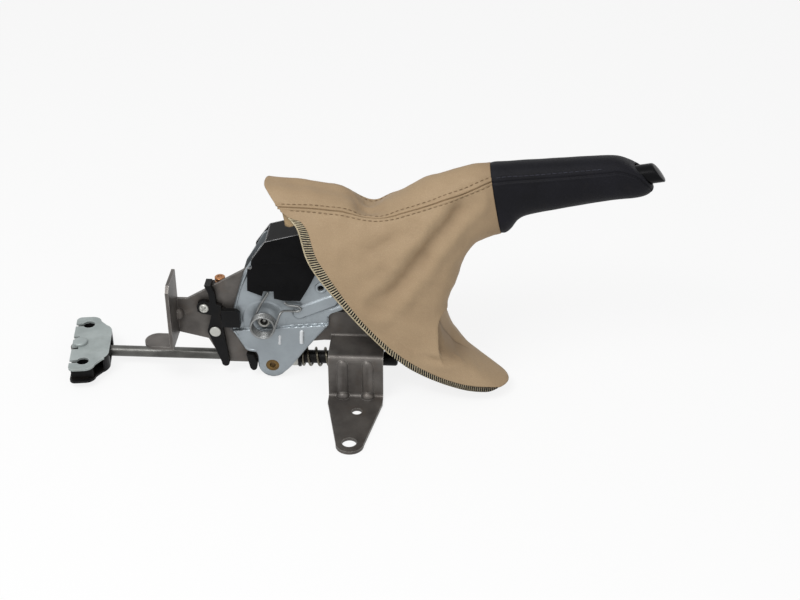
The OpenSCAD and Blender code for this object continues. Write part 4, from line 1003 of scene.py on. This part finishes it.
def cheekHeight(flat):
    a, b = np.array(cheek["stepFrom"], float), np.array(cheek["stepTo"], float)
    along = unit(b - a)
    below = -(flat - a) @ np.array([-along[1], along[0]])
    high = cheek["outer"] + cheek["step"] * ease((below + 0.6) / cheek["stepWide"])
    for line in (cheek["rib"], *cheek["beads"], cheek["lip"]):
        high += raised(flat, *line)
    high += cheek["padHigh"] * ease((cheek["pad"] - np.linalg.norm(flat, axis=1)) / 0.8) * (below < 0)
    fade = between(flat[:, 0], *cheek["flangeRise"]) * between(flat[:, 0], *cheek["flangeFall"])
    high += raised(flat, *cheek["flange"]) * fade
    inner = np.where(below > 1.2, cheek["outer"] + cheek["step"], cheek["outer"]) - cheek["thick"]
    inner = np.minimum(inner, high - 1.2)
    rimAway = distanceTo(flat, np.vstack([cheekOutline, cheekOutline[:1]]))
    lean = np.clip(1 - rimAway / cheek["roll"], 0, 1)
    high = high - 0.72 * cheek["roll"] * (1 - np.sqrt(1 - lean ** 2)) * (1 - fade)
    return -high, -inner


holes = [circle(*hole) for hole in cheek["holes"]]
sheet = pressedSheet(cheekOutline, holes, cheekHeight, cheek["gap"])
nearCheek = addPiece("lever_cheek_near_pressed", sheet, [zincPlate], "lever",
                     ["lever_cheek_near"])
softenEdges(nearCheek, 0.35, 2, 50)
nearCheek.data.materials.append(beadHighlightZinc)  # the beads get a painted highlight: a near-white zinc
middles = (np.array([face.center for face in nearCheek.data.polygons]) - pivot) * 1000
for line, high, half, soft in cheek["beads"]:
    away = distanceTo(middles[:, [0, 2]], np.array(line, float))
    for index in np.flatnonzero((away < half * 0.8) & (middles[:, 1] < -15)):
        nearCheek.data.polygons[index].material_index = 1
print("cheek made")

# turned pieces
across = (0, -1, 0)  # towards the near side
turned = {
    "pivot_pin": ([(-14.9, 5.2), (-14.5, 6.1), (-13.4, 6.3), (-13.3, 5), (13.3, 5), (13.3, 6.3),
        (14.3, 6.3), (14.7, 5.9), (14.7, 5.4), (16.6, 5.4), (17.1, 5.2), (17.3, 4.7), (17.2, 4.1),
        (16.8, 3.4), (8, 3.2), (8, 1.5), (15.2, 1.4), (15.5, 0.8)], (0, 0, 0), across, paleZinc,
        "plain_steel"),
    "pawl_rivet": ([(-14.2, 2.4), (-14.2, 4.6), (-13.8, 5.2), (-13, 5.2), (-13, 4), (13, 4), (13, 5.2),
        (13.5, 5.2), (14, 4.9), (14.2, 4.2), (14.1, 3.3), (13.7, 2.6), (13, 2.4), (6, 2.4)],
        (51, 0, 34.4), across, zincPlate, "plain_steel"),
    "carrier_rivet": ([(7, 2.5), (15, 2.5), (15, 4.7), (15.2, 4.9), (16.1, 4.9), (16.4, 4.7),
        (16.55, 4.2), (16.6, 2)], (-44, 0, -12.4), across, paleZinc, "pale_nut"),
    "switch_terminal": ([(-4, 1.8), (-3.8, 2), (0, 2), (0, 4.2), (0.3, 4.6), (1.9, 4.6), (2.2, 4.3),
        (2.3, 3.9), (3.5, 3.8), (3.7, 4.3), (4, 4.6), (5.5, 4.6), (5.9, 4.3), (6, 3.8), (6, 2.3),
        (5.4, 2.1), (5.4, 0.5)], (-39, -1.6, 30.5), (0, 0, 1), terminalBrass, "terminal_brass"),
    # domed, upset head
    "equalizer_pin": ([(-9.5, 5.4), (-9.2, 6), (-7.5, 6), (-7.5, 4), (7.5, 4), (7.5, 6.2), (7.8, 6.6),
        (9.2, 6.5), (9.8, 5.9), (10.05, 4.5), (10.1, 2)], (eyeX, 0, rodZ), (0, 0, 1),
        equalizerZinc, "pale_nut"),
}
for node, (profile, centre, axis, finish, slotName) in turned.items():
    shape = lathe(profile, centre, axis)
    sharpen(addPiece(node + "_turned", shape, [finish], bodyOf[node], [node]), 50)

# cross-slot screw of the switch: domed head with a driven cross
screw = {"centre": (-52.5, -15, 11.8), "arm": 0.62, "reach": 2.7, "deep": 1.3, "sides": 96, "shank": 2.2}
headProfile = [(0, 4.0), (0.3, 4.2), (1.2, 4.2), (1.7, 3.95), (2.1, 3.5), (2.4, 2.9), (2.55, 2.2),
    (2.62, 1.5), (2.66, 0.8), (2.68, 0.05)]
points, faces = lathe(headProfile, screw["centre"], across, screw["sides"])
local = points - np.array(screw["centre"])
u, w = (local[:, 0] + local[:, 2]) / math.sqrt(2), (local[:, 0] - local[:, 2]) / math.sqrt(2)
cross = np.minimum(np.maximum(np.abs(u) - screw["arm"], np.abs(w) - screw["reach"]),
                   np.maximum(np.abs(w) - screw["arm"], np.abs(u) - screw["reach"]))
points[:, 1] += screw["deep"] * ease((0.25 - cross) / 0.5) * (local[:, 1] < -1.5)
shank = lathe([(-8, screw["shank"]), (0, screw["shank"])], screw["centre"], across, 24)
screwShape = joined([(points, faces), shank])
addPiece("switch_screw_shaped", screwShape, [paleZinc], "base", ["switch_screw"])

# pull rod: plain shank, flat eye and a cut thread
rod = {"radius": 5, "thread": 4, "pitch": 1.25, "depth": 0.45, "from": 15, "to": 110, "rows": 420,
       "sides": 32, "shankFrom": -169, "eyeRadius": 9, "eyeBore": 4.1, "eyeThick": 9}
profile = [(rod["shankFrom"], 4.9), (rod["shankFrom"] + 0.5, rod["radius"]),
           (rod["from"] - 0.6, rod["radius"]), (rod["from"], 4.6), (rod["from"], 3.6)]
shank = lathe(profile, (rodX, 0, rodZ), (1, 0, 0), 40)
turns = np.arange(rod["sides"]) / rod["sides"]
rings = []
for along in np.linspace(rod["from"], rod["to"], rod["rows"]):
    phase = (along / rod["pitch"] - turns) % 1
    radii = rod["thread"] - rod["depth"] * (1 - 2 * np.abs(phase - 0.5))
    rings.append((np.array([rodX + along, 0, rodZ]), (0, 1, 0), (0, 0, 1), radii))
half, rim, bore = rod["eyeThick"] / 2, rod["eyeRadius"], rod["eyeBore"]
eye = lathe([(-half, bore), (-half, rim - 0.6), (-half + 0.6, rim), (half - 0.6, rim), (half, rim - 0.6),
             (half, bore), (-half, bore)], (eyeX, 0, rodZ), (0, 0, 1), 48)
rodShape = joined([shank, ringMesh(rings, rod["sides"]), (eye[0], eye[1][:-2])])
sharpen(addPiece("pull_rod_threaded", rodShape, [plainSteel], "rod", ["pull_rod"]), 50)


def hexNut(x0, x1, radius, bore, sides=60):  # chamfered hexagon round the rod
    turns = 2 * math.pi * np.arange(sides) / sides
    inner = radius * math.cos(math.pi / 6)
    flats = inner / np.cos(turns % (math.pi / 3) - math.pi / 6)
    ends = ((x0, inner), (x0 + 0.9, radius), (x1 - 0.9, radius), (x1, inner), (x1, bore), (x0, bore))
    rings = [(np.array([rodX + along, 0, rodZ]), (0, 0, 1), (0, 1, 0), np.minimum(flats, cap))
             for along, cap in ends]
    points, faces = ringMesh(rings, sides)
    last = len(points) - sides
    faces[-2:] = [(last + j, last + (j + 1) % sides, (j + 1) % sides, j) for j in range(sides)]  # the bore
    return points, faces


nuts = {  # ends along the rod, radius over the corners and bore
    "adjuster_nut": ((15, 22, 9.5, 4.05), paleZinc, "pale_nut"),
    "lock_nut": ((68.5, 75.5, 7.5, 4.05), plainSteel, "plain_steel"),
}
for node, (sizes, finish, slotName) in nuts.items():
    sharpen(addPiece(node + "_hex", hexNut(*sizes), [finish], "rod", [node]), 28)
print("turned pieces made")

# camera at the photograph's viewing angle
view = {"place": (0.0925, -1.0583, 0.7384), "back": (0.0444, -0.8469, 0.5299), "lens": 63.92}
cameraData = bpy.data.cameras.new("viewCamera")
cameraData.lens = view["lens"]
cameraData.sensor_width = 36
cameraData.sensor_fit = "HORIZONTAL"
camera = bpy.data.objects.new("viewCamera", cameraData)
camera.location = view["place"]
camera.rotation_euler = (-Vector(view["back"])).to_track_quat("-Z", "Y").to_euler()
scene.collection.objects.link(camera)
scene.camera = camera

# pale floor and plain soft studio light
studio = {"floorTone": 0.9, "floorShare": 0.84, "floorSize": 4.0, "floorZ": -0.0004, "ambient": 0.44,
          "aim": (0, 0, 0.08)}


def seenRays(tree):  # camera, mirror and glass rays see the plain white
    path = addNode(tree, "LightPath").outputs
    rays = mathNode(tree, "ADD", path["Is Camera Ray"], path["Is Glossy Ray"], True)
    return mathNode(tree, "ADD", rays, path["Is Transmission Ray"], True)


floorFinish, tree, shader = startFinish("paleFloor")
tree.nodes.remove(shader)
plain = addNode(tree, "BsdfDiffuse", Color=(studio["floorTone"],) * 3 + (1,))
glow = addNode(tree, "Emission", Color=(1, 1, 1, 1), Strength=1)
share = mathNode(tree, "MULTIPLY", seenRays(tree), studio["floorShare"])
mixed = feedAll(tree, addNode(tree, "MixShader"), share, plain.outputs[0], glow.outputs[0])
feed(tree, mixed, tree.nodes["Material Output"].inputs["Surface"])
size = studio["floorSize"]
corners = [(-size, -size, 0), (size, -size, 0), (size, size, 0), (-size, size, 0)]
floorMesh = bpy.data.meshes.new("floor")
floorMesh.from_pydata(corners, [], [(0, 1, 2, 3)])
floorMesh.materials.append(floorFinish)
floor = bpy.data.objects.new("floor", floorMesh)
floor.location.z = studio["floorZ"]
scene.collection.objects.link(floor)

world = bpy.data.worlds.new("studio")
world.use_nodes = True
scene.world = world
tree = world.node_tree
sky = tree.nodes["Background"]
sky.inputs["Color"].default_value = (1, 1, 1, 1)
feed(tree, spread(tree, seenRays(tree), 0, 1, studio["ambient"], 1.0), sky.inputs["Strength"])


def softLight(name, place, sizeX, sizeY, power):
    data = bpy.data.lights.new(name, "AREA")
    data.shape = "RECTANGLE"
    data.size, data.size_y, data.energy = sizeX, sizeY, power
    light = bpy.data.objects.new(name, data)
    light.location = place
    light.rotation_euler = (Vector(studio["aim"]) - Vector(place)).to_track_quat("-Z", "Y").to_euler()
    scene.collection.objects.link(light)


softLight("keyLight", (-0.55, -0.75, 1.35), 0.9, 0.7, 9)
softLight("fillLight", (0.9, -1.1, 0.8), 0.8, 0.6, 2)
softLight("edgeLight", (-0.3, -0.75, 1.15), 1.1, 0.2, 5)
print("studio made")
